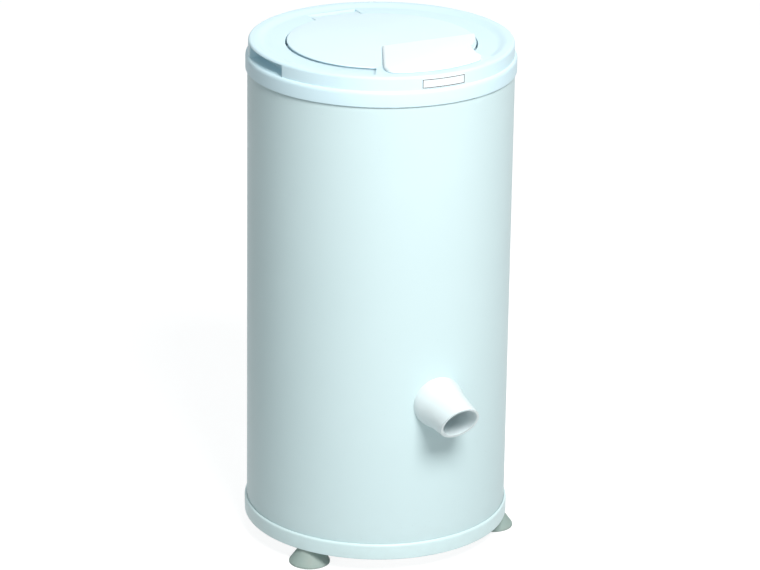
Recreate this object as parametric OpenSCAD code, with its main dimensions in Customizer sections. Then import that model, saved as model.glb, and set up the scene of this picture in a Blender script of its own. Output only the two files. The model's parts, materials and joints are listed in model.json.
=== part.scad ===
// Laundry spin dryer: a steel drum standing upright in a sheet casing, driven straight from
// below, with a hinged top lid whose handle frees the latch, and a drain spout at the front.
// The origin is on the drum's axis at the floor. The front, with the spout, is -Y, and +X is
// on the right of someone who stands in front of the machine. Azimuths run from 0 at the
// front towards +X. F is the distance forward of the drum's axis, so F = -Y.

/* [Casing] */
// Outer radius of the sheet casing
casing_r = 170; // [168:1:205]
// Thickness of the casing sheet
casing_wall = 0.8; // [0.6:0.1:1.2]
// Height of the casing sheet
casing_h = 615.2; // [560:0.2:760]
// Width of the seam inside the back of the casing
seam_w = 12; // [8:1:20]

/* [Base] */
// Height of the feet, from the floor to the base ring
foot_h = 22; // [16:1:30]
// Radius of a foot where it meets the floor
foot_r = 27; // [20:1:32]
// Radius of a foot at its top
foot_top_r = 15; // [12:1:18]
// Distance of a foot's axis in from the casing
foot_inset = 14; // [14:1:20]
// How far the base ring stands out from the casing
base_lip = 3; // [2:0.5:6]
// Height of the base ring's wall
base_wall_h = 17; // [12:1:30]
// Thickness of the base ring's web
web_t = 3.5; // [2.5:0.5:5]
// Width of the base ring's web
web_w = 30; // [28:1:34]
// Thickness of the base pan
pan_t = 3; // [2:0.5:5]

/* [Collar] */
// Height of the collar from the bead's lower edge to the rim
collar_h = 38; // [36:1:48]
// How far the bead stands out from the casing
bead_lip = 2.5; // [2:0.5:5]
// Height of the bead's straight part
bead_h = 14.5; // [12.5:0.5:16]
// How far the bead laps over the casing's top edge
bead_lap = 11; // [8:1:13]
// Wall of the collar's moulding
plastic_t = 2.5; // [2:0.25:3.5]
// Radius of the rim's outer edge
rim_round = 3.5; // [2:0.5:4]
// Width of the rim, up to where the top dips
rim_w = 12; // [8:1:13]
// How far the top dips inside the rim
dip = 3.4; // [2:0.2:5]
// Half the angle that a side grip covers
grip_half = 15.8; // [10:0.2:20]
// Depth of a side grip
grip_depth = 21; // [16:1:22]

/* [Lid] */
// Radius of the lid
lid_r = 120.2; // [116:0.2:124]
// Gap around the lid
lid_gap = 2; // [1.5:0.1:3]
// Rise of the lid's dome
lid_dome = 3.5; // [2:0.5:6]
// Thickness of the lid's skin
lid_skin = 2.4; // [2:0.2:3]
// Width of the ledge that carries the lid's seal
ledge_w = 10.2; // [8:0.2:12]
// Radius of the hinge barrel
barrel_r = 8; // [7:0.5:8]
// Half the length of the hinge barrel
barrel_half = 33; // [24:1:40]
// Radius of the lid's hinge pin
hinge_pin_r = 2.5; // [2:0.25:3.5]

/* [Handle] */
// Height of the handle's top over the rim
handle_rise = 4.2; // [3.6:0.2:8]
// Distance of the handle's lip in from the casing
handle_lip_in = 15.5; // [14:0.5:24]
// Wall of the handle
handle_t = 2.5; // [2:0.25:3]
// Radius of the handle's pin and the latch's pin
small_pin_r = 2; // [1.5:0.1:2.2]

/* [Tub and drum] */
// Inner radius of the tub
tub_r = 131.5; // [126:0.5:135]
// Wall of the tub
tub_t = 2.5; // [2:0.25:3.5]
// Outer radius of the drum
drum_r = 118; // [100:1:122]
// Thickness of the drum's sheet
drum_t = 1.2; // [0.8:0.1:2]
// Radius of the drum's mouth
mouth_r = 104; // [102:1:106]
// Radius of a drum hole
hole_r = 2.5; // [1.5:0.25:3.5]
// Number of rows of holes
hole_rows = 10; // [4:1:14]
// Number of holes in a row
holes_round = 18; // [8:2:24]

/* [Motor] */
// Radius of the stator
stator_r = 70; // [58:1:72]
// Height of the stator
stator_h = 56; // [40:1:60]
// Radius of the rotor
rotor_r = 40.3; // [34:0.1:40.4]
// Radius of the shaft in the upper bearing
shaft_r = 10; // [8:0.5:11]
// Radius of the brake drum
brake_r = 38; // [34:1:38]
// Radius of a suspension spring, to the middle of its wire
spring_r = 15; // [12:0.5:16]
// Radius of the suspension springs' wire
spring_wire_r = 1.7; // [1.2:0.1:2.2]
// Turns of a suspension spring
spring_turns = 7; // [5:1:9]

/* [Spout] */
// Height of the spout's axis at the casing
spout_z = 233; // [228:1:262]
// Slope of the spout below the horizontal
spout_pitch = 6.8; // [4:0.2:9]
// Radius of the spout's bore
spout_bore_r = 22.5; // [18.5:0.25:24]
// Wall of the spout
spout_t = 3; // [2:0.25:3.5]
// Radius of the spout where it meets the casing
spout_base_r = 33.5; // [30:0.5:38]
// Length of the spout to the middle of its mouth
spout_len = 60; // [45:1:75]
// Slant of the mouth against a square cut
mouth_slant = 25.5; // [0:0.5:30]

/* [Lock] */
// Height of the hook's tip
hook_h = 5; // [4:0.5:6]
// How far the hook reaches past the lid's throat
hook_reach = 6.5; // [5:0.5:7]
// Travel of the interlock slider
slider_travel = 5; // [3:0.5:6]
// Radius of the brake cable's sheath
cable_r = 2.5; // [2:0.25:3]

/* [Hidden] */
$fn = 96;

// Gaps: between seated faces, between a pin and its bore, and around a sheet in its groove
seat = 0.3;
run = 0.05;
groove_gap = 0.35;
far = 900;

// Azimuths of the feet, of the posts that carry the tub and of the side grips
foot_azs = [-60, 60, 180];
post_azs = [-150, -90, -30, 30, 90, 150];
grip_azs = [-90, 90];

// Levels of the base, the casing and the collar
z_web = foot_h + web_t;
z_pan = z_web + pan_t;
casing_z0 = z_web + seat;
casing_z1 = casing_z0 + casing_h;
collar_z0 = casing_z1 - bead_lap;
z_top = collar_z0 + collar_h;

// Radii around the casing
foot_axis_r = casing_r - foot_inset;
groove_in = casing_r - casing_wall - groove_gap;
groove_out = casing_r + groove_gap;
upstand_r = groove_in - plastic_t + 0.15;
base_r = casing_r + base_lip;
bead_r = casing_r + bead_lip;
collar_r = casing_r - 1;
rim_in = casing_r - 1 - rim_w;
dip_r = rim_in - 5.5;

// The lid's opening, its ledge, the throat below it and the lid's own levels
opening_r = lid_r + lid_gap;
throat_r = opening_r - ledge_w;
z_dip_in = z_top - dip - 1.8;
z_bridge = z_top - 0.4;
z_ledge = z_top - 17.5;
z_lid_edge = z_top - 2.5;
z_flange = z_ledge + 3.1;
z_skirt = z_flange + 2.4;
z_throat = z_top - 52;
bridge_az = [-30, 35];
liner_r = throat_r - 5;
liner_t = 2.4;

// The lid's hinge, the handle's pin and the latch's pin
hinge_y = opening_r + 11.8;
hinge_z = z_top - 4.8 - barrel_r;
handle_f = 45;
handle_z = z_top - 5.6;
handle_top = z_top + handle_rise;
lip_r = casing_r - handle_lip_in;
latch_f = throat_r - 16;
latch_z = z_top - 11;
nose_f = latch_f - 22;
hook_f = throat_r + hook_reach;
z_hook = z_top - 40;

// The lock behind the throat's window
lock_f0 = throat_r + plastic_t + 0.4;
lock_f1 = lock_f0 + 33;
lock_z0 = z_top - 45.5;
lock_z1 = z_top - 22;
lock_w = 32;
lock_t = 2.4;
slider_f = hook_f + 0.5;
slider_z0 = lock_z0 + lock_t + 0.4;
slider_h = 6.6;
slider_len = 19;
button_f = slider_f + 9;
button_z = slider_z0 + 3.6;
button_travel = 1.2;

// The tub, hung from the collar's posts, and the drum in it
tub_out = tub_r + tub_t;
flange_out = tub_out + 12;
post_r = tub_out + 7;
z_tub_top = z_top - 55;
z_tub_floor = 221.5;
z_cover = z_tub_top + seat;
cover_t = 2.5;
z_drum0 = 252;
z_drum1 = z_top - 66;

// The spout's tail takes a seal round the tub's stub
seal_bore_r = spout_bore_r - 1;
stub_r = seal_bore_r - 3;

// The motor and its shaft
z_stator = 80;
z_stator_top = z_stator + stator_h;
z_top_shield = z_stator_top + 18;
z_housing = z_top_shield + 6;
z_upper_bearing = 226;
z_neck = z_upper_bearing + 20.5;
neck_r = 29.5;
tie_r = stator_r + 8.5;
flange_r = stator_r + 22;
arm_r = 125;
seat_z = 60;
buffer_t = 6;
z_arm = z_top_shield - 3;
shaft_foot_r = 8;
bearing_low_r = 8.5;
rotor_seat_r = 11;
brake_z = 34;
brake_h = 16;

// The brake lever's pivot, in X and F, and the end of the brake cable
brake_pivot = [-45, 52];
cable_end_x = 48;
lever_z = brake_z + 5;
lever_h = 6;

// Route of the brake cable from the lock to the brake, in X, F and Z
lock_cable = [-2.8, lock_f1 + 0.2, button_z];
wall_r = casing_r - 13;
function at_wall(az, z, r = 0) = [(wall_r - r) * sin(az), (wall_r - r) * cos(az), z];
cable_route = [
    lock_cable,
    [-2.8, lock_f1 + 4, button_z],
    [2, wall_r - 2, button_z - 2],
    at_wall(8, z_top - 48),
    at_wall(25, z_top - 62),
    at_wall(50, z_top - 88),
    at_wall(72, z_top - 130),
    at_wall(84, z_top - 190),
    at_wall(86, z_top - 260),
    at_wall(86, 200),
    at_wall(86, 110),
    at_wall(85, 70, 4),
    at_wall(84, 52, 16),
    [118, 14, 45],
    [90, 8, 42],
    [66, 8, 42],
    [53, 14, 42],
    [cable_end_x, 21, 42],
    [cable_end_x, 26.8, 42]];

// Turned and placed shapes
module turned(points) rotate_extrude() polygon(points);
module at_az(az) rotate([0, 0, az - 90]) children();
module sector(points, az0, az1) at_az(az0) rotate_extrude(angle = az1 - az0) polygon(points);
module side_plate(x, w, points)
    translate([x + w / 2, 0, 0]) rotate([90, 0, -90]) linear_extrude(w) polygon(points);
module x_rod(r, x0, x1, f, z) translate([x0, -f, z]) rotate([0, 90, 0]) cylinder(r = r, h = x1 - x0);
module bar(x, f, z) translate([x[0], -f[1], z[0]]) cube([x[1] - x[0], f[1] - f[0], z[1] - z[0]]);
module radial(az, r, z) at_az(az) translate([r, 0, z]) rotate([0, 90, 0]) children();
module along_spout() translate([0, 1 - casing_r, spout_z]) rotate([90 + spout_pitch, 0, 0]) children();
module screw(r, l, head_r, head_h) {
    cylinder(r = head_r, h = head_h);
    translate([0, 0, -l]) cylinder(r = r, h = l + 0.1);
}
module hex(r, h) cylinder(r = r, h = h, $fn = 6);

// Points on an arc, on a rounded corner and on an outline in plan, given as X and F
function arc(c, r, a0, a1, n) =
    [for (i = [0:n]) let (a = a0 + (a1 - a0) * i / n) [c[0] + r * cos(a), c[1] + r * sin(a)]];
function corner(p, q, s, n) =
    [for (i = [0:n]) let (t = i / n) p * (1 - t) * (1 - t) + q * 2 * t * (1 - t) + s * t * t];
function plan(r, az) = [r * sin(az), r * cos(az)];
function dome(r) = z_lid_edge + lid_dome * (1 - (r / lid_r) * (r / lid_r));

// The handle's outline, drawn in by m: a radial left side, a lip along an arc about the
// drum's axis, a right side that follows the lid's edge, and a straight back
handle_left = -26;
handle_right = 43;
handle_back = handle_f - 3;
function handle_outline(m) = concat(
    [[-(handle_back + m) * tan(-handle_left) + m, handle_back + m]],
    corner(plan(lip_r - 26.5, handle_left) + [m, 0], plan(lip_r - m, handle_left) + [m, 0],
        plan(lip_r - m, -19), 6),
    [for (a = [-15:5:20]) plan(lip_r - m, a)],
    corner(plan(lip_r - m, 24), plan(lip_r - m, 29.5), plan(lip_r - 16, 32) - [m, 0], 6),
    [for (a = [handle_right:6:67]) plan(lid_r - 1.5 - m, a)],
    [[sqrt(pow(lid_r - 1.5 - m, 2) - pow(handle_back + m, 2)), handle_back + m]]);

// A round tube swept along points, each with the sides' directions carried on from the last
function unit(v) = v / norm(v);
function heading(p, i) = unit(p[min(i + 1, len(p) - 1)] - p[max(i - 1, 0)]);
function side_dirs(p, i, last) =
    let (t = heading(p, i), s = unit(last - t * (last * t)))
    i == len(p) - 1 ? [s] : concat([s], side_dirs(p, i + 1, s));
module tube(p, r, sides) {
    dirs = side_dirs(p, 0, [0.13, 0.21, 0.97]);
    rings = [for (i = [0:len(p) - 1])
        let (t = heading(p, i), s = dirs[i], c = cross(t, s))
        for (k = [0:sides - 1]) p[i] + r * (s * cos(360 * k / sides) + c * sin(360 * k / sides))];
    last = (len(p) - 1) * sides;
    walls = [for (i = [0:len(p) - 2], k = [0:sides - 1])
        let (a = i * sides + k, b = i * sides + (k + 1) % sides)
        for (f = [[a, a + sides, b + sides], [a, b + sides, b]]) f];
    cap0 = [for (k = [1:sides - 2]) [0, k, k + 1]];
    cap1 = [for (k = [1:sides - 2]) [last, last + k + 1, last + k]];
    polyhedron(rings, concat(walls, cap0, cap1), convexity = 12);
}

// One suspension spring: points of the middle of its wire, and its least gap to itself
spring_z0 = seat_z + buffer_t + spring_wire_r;
spring_z1 = z_arm - buffer_t - spring_wire_r;
spring_points = [for (i = [0:spring_turns * 8])
    let (a = i * 45, t = i / (spring_turns * 8))
    [spring_r * cos(a), spring_r * sin(a), spring_z0 + (spring_z1 - spring_z0) * t]];
spring_gap = min([for (i = [0:len(spring_points) - 9], j = [i + 5:min(i + 12, len(spring_points) - 1)])
    norm(spring_points[i] - spring_points[j])]) - 2 * spring_wire_r;
echo(spring_least_gap_to_itself = spring_gap);

// ---------------------------------------------------------------- casing and base

// Rolled steel sheet with a seam folded inside the back and a port for the spout
module casing() {
    color([0.86, 0.93, 0.94])
    difference() {
        union() {
            turned([[casing_r - casing_wall, casing_z0], [casing_r, casing_z0],
                [casing_r, casing_z1], [casing_r - casing_wall, casing_z1]]);
            sector([[casing_r - 2.4, casing_z0 + 22], [casing_r - casing_wall + 0.1, casing_z0 + 22],
                [casing_r - casing_wall + 0.1, casing_z1 - 20], [casing_r - 2.4, casing_z1 - 20]],
                180 - seam_w / 6, 180 + seam_w / 6);
        }
        along_spout() translate([0, 0, -30]) cylinder(r = spout_bore_r + spout_t, h = 60);
        radial(-150, casing_r - 10, gland_z) cylinder(r = 8.2, h = 20);
        for (az = [-150, 150]) radial(az, casing_r - 10, collar_z0 + 5) cylinder(r = 2, h = 20);
    }
}
gland_z = foot_h + 44;

// Ring at the foot of the casing, with a groove for the sheet and a web for the feet
module base_ring() {
    color([0.86, 0.92, 0.92])
    difference() {
        turned(concat(
            [[upstand_r - web_w + 4, foot_h], [base_r - 1, foot_h], [base_r, foot_h + 1]],
            [[base_r, foot_h + base_wall_h]],
            corner([base_r, foot_h + base_wall_h], [base_r, foot_h + base_wall_h + 3],
                [groove_out, foot_h + base_wall_h + 4], 4),
            [[groove_out, z_web], [groove_in, z_web], [groove_in, z_web + 14],
                [upstand_r, z_web + 14], [upstand_r, z_web], [upstand_r - web_w + 4, z_web]]));
        for (az = foot_azs) at_az(az) translate([foot_axis_r, 0, 0]) cylinder(r = 4.2, h = far);
    }
}

// Bottom tray with vents, seats for the springs and a socket for the capacitor
cap_az = 120;
cap_axis_r = 118;
cap_r = 20;
module base_pan() {
    color([0.45, 0.48, 0.48])
    difference() {
        union() {
            translate([0, 0, z_web]) cylinder(r = upstand_r - seat, h = pan_t);
            for (az = foot_azs) at_az(az) translate([arm_r, 0, z_pan - 0.5]) {
                cylinder(r = 22, h = seat_z - z_pan + 4.5);
            }
            at_az(cap_az) translate([cap_axis_r, 0, z_pan - 0.5]) cylinder(r = cap_r + 2.8, h = 18);
        }
        for (az = foot_azs) at_az(az) {
            translate([foot_axis_r, 0, 0]) cylinder(r = 4.2, h = far);
            translate([foot_axis_r, 0, z_pan]) cylinder(r = 8, h = far);
            translate([arm_r, 0, seat_z]) cylinder(r = 20.3, h = 20);
            translate([arm_r, 0, 0]) cylinder(r = 15, h = seat_z - 4);
        }
        at_az(cap_az) translate([cap_axis_r, 0, z_pan + 2.5]) cylinder(r = cap_r + seat, h = 30);
        for (az = [0:20:340]) at_az(az) translate([50, -3, 0]) cube([40, 6, z_pan + 1]);
    }
}

// Rubber foot: a flared cone with a blind hole for its screw
module foot(az) {
    color([0.55, 0.6, 0.57])
    at_az(az) translate([foot_axis_r, 0, 0])
    turned([[0, 0], [foot_r, 0], [foot_r - 0.7, 2.6], [foot_top_r + 4, foot_h - 9],
        [foot_top_r, foot_h - 3], [foot_top_r, foot_h], [4 + run, foot_h], [4 + run, 8], [0, 8]]);
}
module foot_front_left() foot(foot_azs[0]);
module foot_front_right() foot(foot_azs[1]);
module foot_rear() foot(foot_azs[2]);

// Screws down through the pan and the web into the feet
module foot_screws() {
    color([0.72, 0.73, 0.74])
    for (az = foot_azs) at_az(az) translate([foot_axis_r, 0, z_pan]) {
        hex(6.5, 5);
        translate([0, 0, 9 - z_pan]) cylinder(r = 4, h = z_pan - 8.5);
    }
}

// ---------------------------------------------------------------- collar

// Wall of the collar from the bead over the rim and into the throat
function collar_profile() = concat(
    [[groove_out, collar_z0], [bead_r - 0.8, collar_z0], [bead_r, collar_z0 + 0.8],
        [bead_r, collar_z0 + bead_h]],
    corner([bead_r, collar_z0 + bead_h], [bead_r, collar_z0 + bead_h + 4.2],
        [collar_r, collar_z0 + bead_h + 5.5], 5),
    arc([collar_r - rim_round, z_top - rim_round], rim_round, 0, 90, 5),
    [[rim_in, z_top], [dip_r, z_top - dip], [opening_r + 0.6, z_dip_in], [opening_r, z_dip_in - 0.6],
        [opening_r, z_ledge], [throat_r, z_ledge], [throat_r, z_throat],
        [throat_r + plastic_t, z_throat], [throat_r + plastic_t, z_ledge - plastic_t],
        [opening_r + plastic_t, z_ledge - plastic_t], [opening_r + plastic_t, z_dip_in - plastic_t],
        [dip_r - 0.8, z_top - dip - plastic_t], [rim_in - 1, z_top - plastic_t],
        [collar_r - rim_round, z_top - plastic_t], [collar_r - plastic_t, z_top - rim_round - 0.5],
        [upstand_r, casing_z1 + seat + 3], [upstand_r, collar_z0 - 4],
        [groove_in, collar_z0 - 4], [groove_in, casing_z1 + seat], [groove_out, casing_z1 + seat]]);

// Solid bridge at rim height under the handle
module bridge()
    sector([[opening_r, z_dip_in - 1.5], [opening_r, z_bridge - 1], [opening_r + 1, z_bridge],
        [rim_in + 1, z_top - 0.05], [rim_in + 1, z_top - 2], [dip_r, z_dip_in - 1.5]],
        bridge_az[0], bridge_az[1]);

// Side grip: a pocket in the collar's wall, deeper below than behind the rim
module grip_block(az)
    sector([[collar_r - grip_depth - plastic_t, collar_z0 + bead_h + 2.6], [collar_r - 1.5, collar_z0 + bead_h + 2.6],
        [collar_r - 1.5, z_top - 1.5], [rim_in - 3, z_top - 2.5], [collar_r - grip_depth - plastic_t, z_top - 6]],
        az - grip_half - 1.2, az + grip_half + 1.2);
module grip_pocket(az)
    sector([[collar_r - grip_depth, collar_z0 + bead_h + 5.3], [collar_r + 9, collar_z0 + bead_h + 5.3],
        [collar_r + 9, z_top - 2.8], [rim_in + 1.5, z_top - 2.8], [rim_in - 4.5, z_top - 8.5],
        [collar_r - grip_depth, z_top - 8.5]], az - grip_half, az + grip_half);

// Bosses that carry the lid's hinge pin, and the pocket that the hinge barrel turns in
boss_x = barrel_half + 1.6;
module hinge_bosses()
    for (s = [-1, 1]) bar([s * (boss_x + 5.5) - 5.5, s * (boss_x + 5.5) + 5.5],
        [-hinge_y - 6.5, -hinge_y + 6.5], [hinge_z - 6, z_top - dip - 1.6]);
module hinge_pocket()
    bar([-barrel_half - 1.2, barrel_half + 1.2], [-hinge_y - barrel_r - 0.9, -opening_r + 7],
        [z_ledge + 0.05, z_top + 5]);

module top_collar() {
    color([0.88, 0.95, 0.97])
    difference() {
        union() {
            turned(collar_profile());
            bridge();
            for (az = grip_azs) grip_block(az);
            for (az = post_azs) at_az(az) translate([post_r, 0, z_cover + cover_t + seat])
                cylinder(r = 4.5, h = z_top - dip - 2 - z_cover - cover_t - seat);
            for (x = [-21, 21]) translate([x, -lock_f0 - 17, lock_z1 + seat])
                cylinder(r = 4, h = z_dip_in - lock_z1 - seat);
            hinge_bosses();
        }
        for (az = grip_azs) grip_pocket(az);
        hinge_pocket();
        x_rod(hinge_pin_r + 0.02, -boss_x - 20, boss_x + 20, -hinge_y, hinge_z);
        bar([-9.5, 9.5], [throat_r - 5, throat_r + plastic_t + 1], [z_hook - 6.5, z_hook + 12]);
        for (az = post_azs) at_az(az) translate([post_r, 0, z_cover]) cylinder(r = 1.6, h = 20);
        for (x = [-21, 21]) translate([x, -lock_f0 - 17, lock_z1]) cylinder(r = 1.6, h = 12);
        for (az = [-150, 150]) radial(az, casing_r - 10, collar_z0 + 5) cylinder(r = 1.6, h = 20);
    }
}

// Blank plate on the collar's front
module name_plate() {
    color([0.92, 0.95, 0.95])
    sector([[collar_r + run, z_top - 16.6], [collar_r + 0.8, z_top - 16.2], [collar_r + 0.8, z_top - 4.4],
        [collar_r + run, z_top - 4]], -10, 10);
}

// Self-tapping screws: collar to casing, tub to collar and lock to collar
module plastic_screws() {
    color([0.72, 0.73, 0.74]) {
        for (az = [-150, 150]) radial(az, bead_r + run, collar_z0 + 5) screw(1.55, 6.4, 3.6, 1.6);
        for (az = post_azs) at_az(az) translate([post_r, 0, z_tub_top - tub_t - run])
            mirror([0, 0, 1]) screw(1.55, 20, 3.6, 1.8);
        for (x = [-21, 21]) translate([x, -lock_f0 - 17, lock_z1 - lock_t - run])
            mirror([0, 0, 1]) screw(1.55, 12, 3.4, 1.8);
    }
}

// ---------------------------------------------------------------- tub and outlet

// Cover between the collar's throat and the drum's mouth, clamped on the tub's flange
module loading_funnel() {
    color([0.8, 0.86, 0.87])
    difference() {
        turned([[throat_r + plastic_t + 0.5, z_throat + 5.5], [throat_r + 5.5, z_throat + 5.5],
            [throat_r + 5.5, z_cover + cover_t], [flange_out, z_cover + cover_t], [flange_out, z_cover],
            [throat_r + 6, z_cover], [mouth_r - 3.5, z_tub_top - 9.5], [mouth_r - 4.5, z_tub_top - 17],
            [mouth_r - 7, z_tub_top - 16.5], [mouth_r - 6, z_tub_top - 8],
            [throat_r + plastic_t + 0.5, z_cover + 1.5]]);
        for (az = post_azs) at_az(az) translate([post_r, 0, z_cover - 1]) cylinder(r = 1.7, h = 8);
    }
}

// Tub that catches the water: a floor around the motor's neck, a wall and an outlet stub
module tub() {
    color([0.74, 0.77, 0.77])
    difference() {
        union() {
            turned([[46, z_tub_floor - tub_t], [tub_out, z_tub_floor - tub_t], [tub_out, z_tub_top - tub_t],
                [flange_out, z_tub_top - tub_t], [flange_out, z_tub_top], [tub_r, z_tub_top],
                [tub_r, z_tub_floor], [48.5, z_tub_floor], [48.5, z_tub_floor + 15.2], [46, z_tub_floor + 15.2]]);
            along_spout() translate([0, 0, -casing_r + tub_r + 0.5]) cylinder(r = stub_r, h = casing_r - tub_r - 20);
        }
        along_spout() translate([0, 0, -casing_r + tub_r - 20]) cylinder(r = stub_r - 3, h = casing_r - tub_r + 20);
        for (az = post_azs) at_az(az) translate([post_r, 0, z_tub_top - 5]) cylinder(r = 1.7, h = 8);
    }
}

// Drain spout: a flared fairing against the casing, a slanted mouth and a tail inside
module drain_spout() {
    color([0.93, 0.98, 0.98])
    difference() {
        union() {
            difference() {
                along_spout() turned(concat(
                    [[0, -14], [spout_base_r, -14], [spout_base_r, 1]],
                    corner([spout_base_r, 1], [spout_base_r - 1, 9], [spout_base_r - 4.5, 22], 5),
                    [[spout_bore_r + spout_t, spout_len + 4], [spout_bore_r + spout_t, spout_len + 20],
                        [0, spout_len + 20]]));
                cylinder(r = casing_r + 0.15, h = far);
            }
            along_spout() translate([0, 0, -30]) cylinder(r = spout_bore_r + spout_t - 0.5, h = 40);
        }
        along_spout() {
            translate([0, 0, -40]) cylinder(r = seal_bore_r, h = 60);
            translate([0, 0, -12]) cylinder(r = spout_bore_r, h = spout_len + 80);
            translate([0, 0, spout_len]) rotate([mouth_slant, 0, 0]) translate([-50, -60, 0]) cube([100, 120, 60]);
        }
    }
}

// Ring nut on the spout's tail behind the casing
module spout_nut() {
    color([0.8, 0.84, 0.84])
    along_spout() translate([0, 0, -11.3])
    difference() {
        cylinder(r = spout_bore_r + spout_t + 6, h = 7);
        translate([0, 0, -1]) cylinder(r = spout_bore_r + spout_t - 0.5 + run, h = 9);
    }
}

// Rubber ring between the tub's stub and the spout's tail
module outlet_seal() {
    color([0.2, 0.21, 0.21])
    along_spout() translate([0, 0, -28])
    difference() {
        cylinder(r = seal_bore_r - run, h = 7);
        translate([0, 0, -1]) cylinder(r = stub_r + run, h = 9);
    }
}

// Rubber gaiter from the motor's neck to the lip of the tub's floor
module neck_gaiter() {
    color([0.2, 0.21, 0.21])
    turned([[neck_r + run, z_tub_floor + 4.5], [34, z_tub_floor + 4.5], [45.7, z_tub_floor + 15.5],
        [48.8, z_tub_floor + 15.5], [48.8, z_tub_floor + 8], [51, z_tub_floor + 8],
        [51, z_tub_floor + 19], [44, z_tub_floor + 19], [33, z_tub_floor + 9],
        [32.5, z_tub_floor + 17], [neck_r + run, z_tub_floor + 17]]);
}

// ---------------------------------------------------------------- motor

// Cast neck that holds the upper bearing and the shaft seal
module bearing_housing() {
    color([0.66, 0.67, 0.68])
    difference() {
        turned([[44, z_housing], [60, z_housing], [60, z_housing + 7], [50, z_housing + 7],
            [neck_r, z_upper_bearing - 21], [neck_r, z_neck], [23.5 + run, z_neck],
            [23.5 + run, z_upper_bearing], [14, z_upper_bearing], [14, z_upper_bearing - 6],
            [24, z_upper_bearing - 14], [44, z_housing + 12]]);
        for (az = [0, 120, 240]) at_az(az) translate([55, 0, z_housing - 1]) cylinder(r = 2.7, h = 20);
    }
}
module ball_bearing(bore, outer, h)
    turned([[bore, 0], [bore + 3.5, 0], [bore + 3.5, 1], [outer - 3, 1], [outer - 3, 0], [outer, 0],
        [outer, h], [outer - 3, h], [outer - 3, h - 1], [bore + 3.5, h - 1], [bore + 3.5, h], [bore, h]]);
module upper_bearing() {
    color([0.75, 0.76, 0.78]) translate([0, 0, z_upper_bearing + run]) ball_bearing(shaft_r + run, 23.5, 14);
}
module lower_bearing() {
    color([0.75, 0.76, 0.78]) translate([0, 0, z_stator - 18 + run]) ball_bearing(bearing_low_r + run, 20, 12);
}
module shaft_seal() {
    color([0.2, 0.21, 0.21])
    translate([0, 0, z_upper_bearing + 14.2])
    turned([[shaft_r + run, 1], [shaft_r + 1.5, 0], [23.5, 0], [23.5, 6], [20, 6], [20, 2.5],
        [shaft_r + 2.5, 2.5], [shaft_r + 2.5, 6], [shaft_r + run, 6]]);
}

// End shields that grip the stator, with lugs for the tie bolts
module upper_end_shield() {
    color([0.66, 0.67, 0.68])
    difference() {
        turned([[stator_r + run, z_stator_top - 8], [stator_r + 4, z_stator_top - 8],
            [stator_r + 4, z_top_shield], [flange_r, z_top_shield], [flange_r, z_housing],
            [14, z_housing], [14, z_top_shield], [stator_r - 4, z_top_shield],
            [stator_r - 4, z_stator_top + run], [stator_r + run, z_stator_top + run]]);
        for (az = [30:90:300]) at_az(az) translate([tie_r, 0, z_top_shield - 1]) cylinder(r = 2.7, h = 20);
        for (az = [0, 120, 240]) at_az(az) translate([55, 0, z_top_shield - 1]) cylinder(r = 2.55, h = 20);
        for (az = [0:30:330]) at_az(az) translate([stator_r - 10, -6, z_stator_top + 5]) cube([20, 12, 8]);
    }
}
module lower_end_shield() {
    z0 = z_stator - 24;
    color([0.66, 0.67, 0.68])
    difference() {
        union() {
            turned([[12, z0], [stator_r + 4, z0], [stator_r + 4, z_stator + 8], [stator_r + run, z_stator + 8],
                [stator_r + run, z_stator - run], [stator_r - 4, z_stator - run], [stator_r - 4, z0 + 5],
                [26, z0 + 5], [26, z0 + 19], [20 + run, z0 + 19], [20 + run, z0 + 6], [12, z0 + 6]]);
            for (az = [30:90:300]) at_az(az) translate([tie_r, 0, z_stator - 4]) cylinder(r = 6, h = 10);
        }
        translate([0, 0, z_stator - run]) cylinder(r = stator_r + run, h = 20);
        for (az = [30:90:300]) at_az(az) translate([tie_r, 0, z_stator - 9]) cylinder(r = 2.7, h = 20);
        for (az = [0:30:330]) at_az(az) translate([36, -4, z0 - 1]) cube([22, 8, 8]);
    }
}
module stator_core() {
    color([0.5, 0.5, 0.52])
    turned([[rotor_r + 0.7, z_stator], [stator_r, z_stator], [stator_r, z_stator_top],
        [rotor_r + 0.7, z_stator_top]]);
}
module stator_windings() {
    color([0.7, 0.38, 0.16])
    for (z = [z_stator - 12.1, z_stator_top + 0.1]) translate([0, 0, z])
        turned([[rotor_r + 4, 0], [stator_r - 6, 0], [stator_r - 5, 4], [stator_r - 6, 12],
            [rotor_r + 4, 12], [rotor_r + 3, 4]]);
}

// Three-armed plate between the motor and the springs
module motor_carrier() {
    color([0.6, 0.62, 0.63])
    difference() {
        union() {
            translate([0, 0, z_arm]) cylinder(r = flange_r + 4, h = 2.9);
            for (az = foot_azs) at_az(az) translate([stator_r + 10, -21, z_arm]) cube([arm_r + 19 - stator_r - 10, 42, 2.9]);
            for (az = foot_azs, s = [-1, 1]) at_az(az)
                translate([flange_r - 2, s * 22.4 - 1.5, z_arm - 7]) cube([arm_r + 19 - flange_r + 2, 3, 9.9]);
        }
        translate([0, 0, z_arm - 1]) cylinder(r = stator_r + 4.5, h = 10);
        for (az = [30:90:300]) at_az(az) translate([tie_r, 0, z_arm - 1]) cylinder(r = 2.7, h = 10);
    }
}

// Tie bolts through the shields and the carrier, and the neck's screws
module motor_bolts() {
    color([0.72, 0.73, 0.74]) {
        for (az = [30:90:300]) at_az(az) translate([tie_r, 0, 0]) {
            translate([0, 0, z_stator - 8.1]) hex(4.3, 4);
            translate([0, 0, z_stator - 6]) cylinder(r = 2.5, h = z_housing - z_stator + 9);
            translate([0, 0, z_housing + run]) hex(4.5, 4);
        }
        for (az = [0, 120, 240]) at_az(az) translate([55, 0, z_housing + 7 + run]) screw(2.5, 13, 4.2, 3.5);
    }
}

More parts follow.
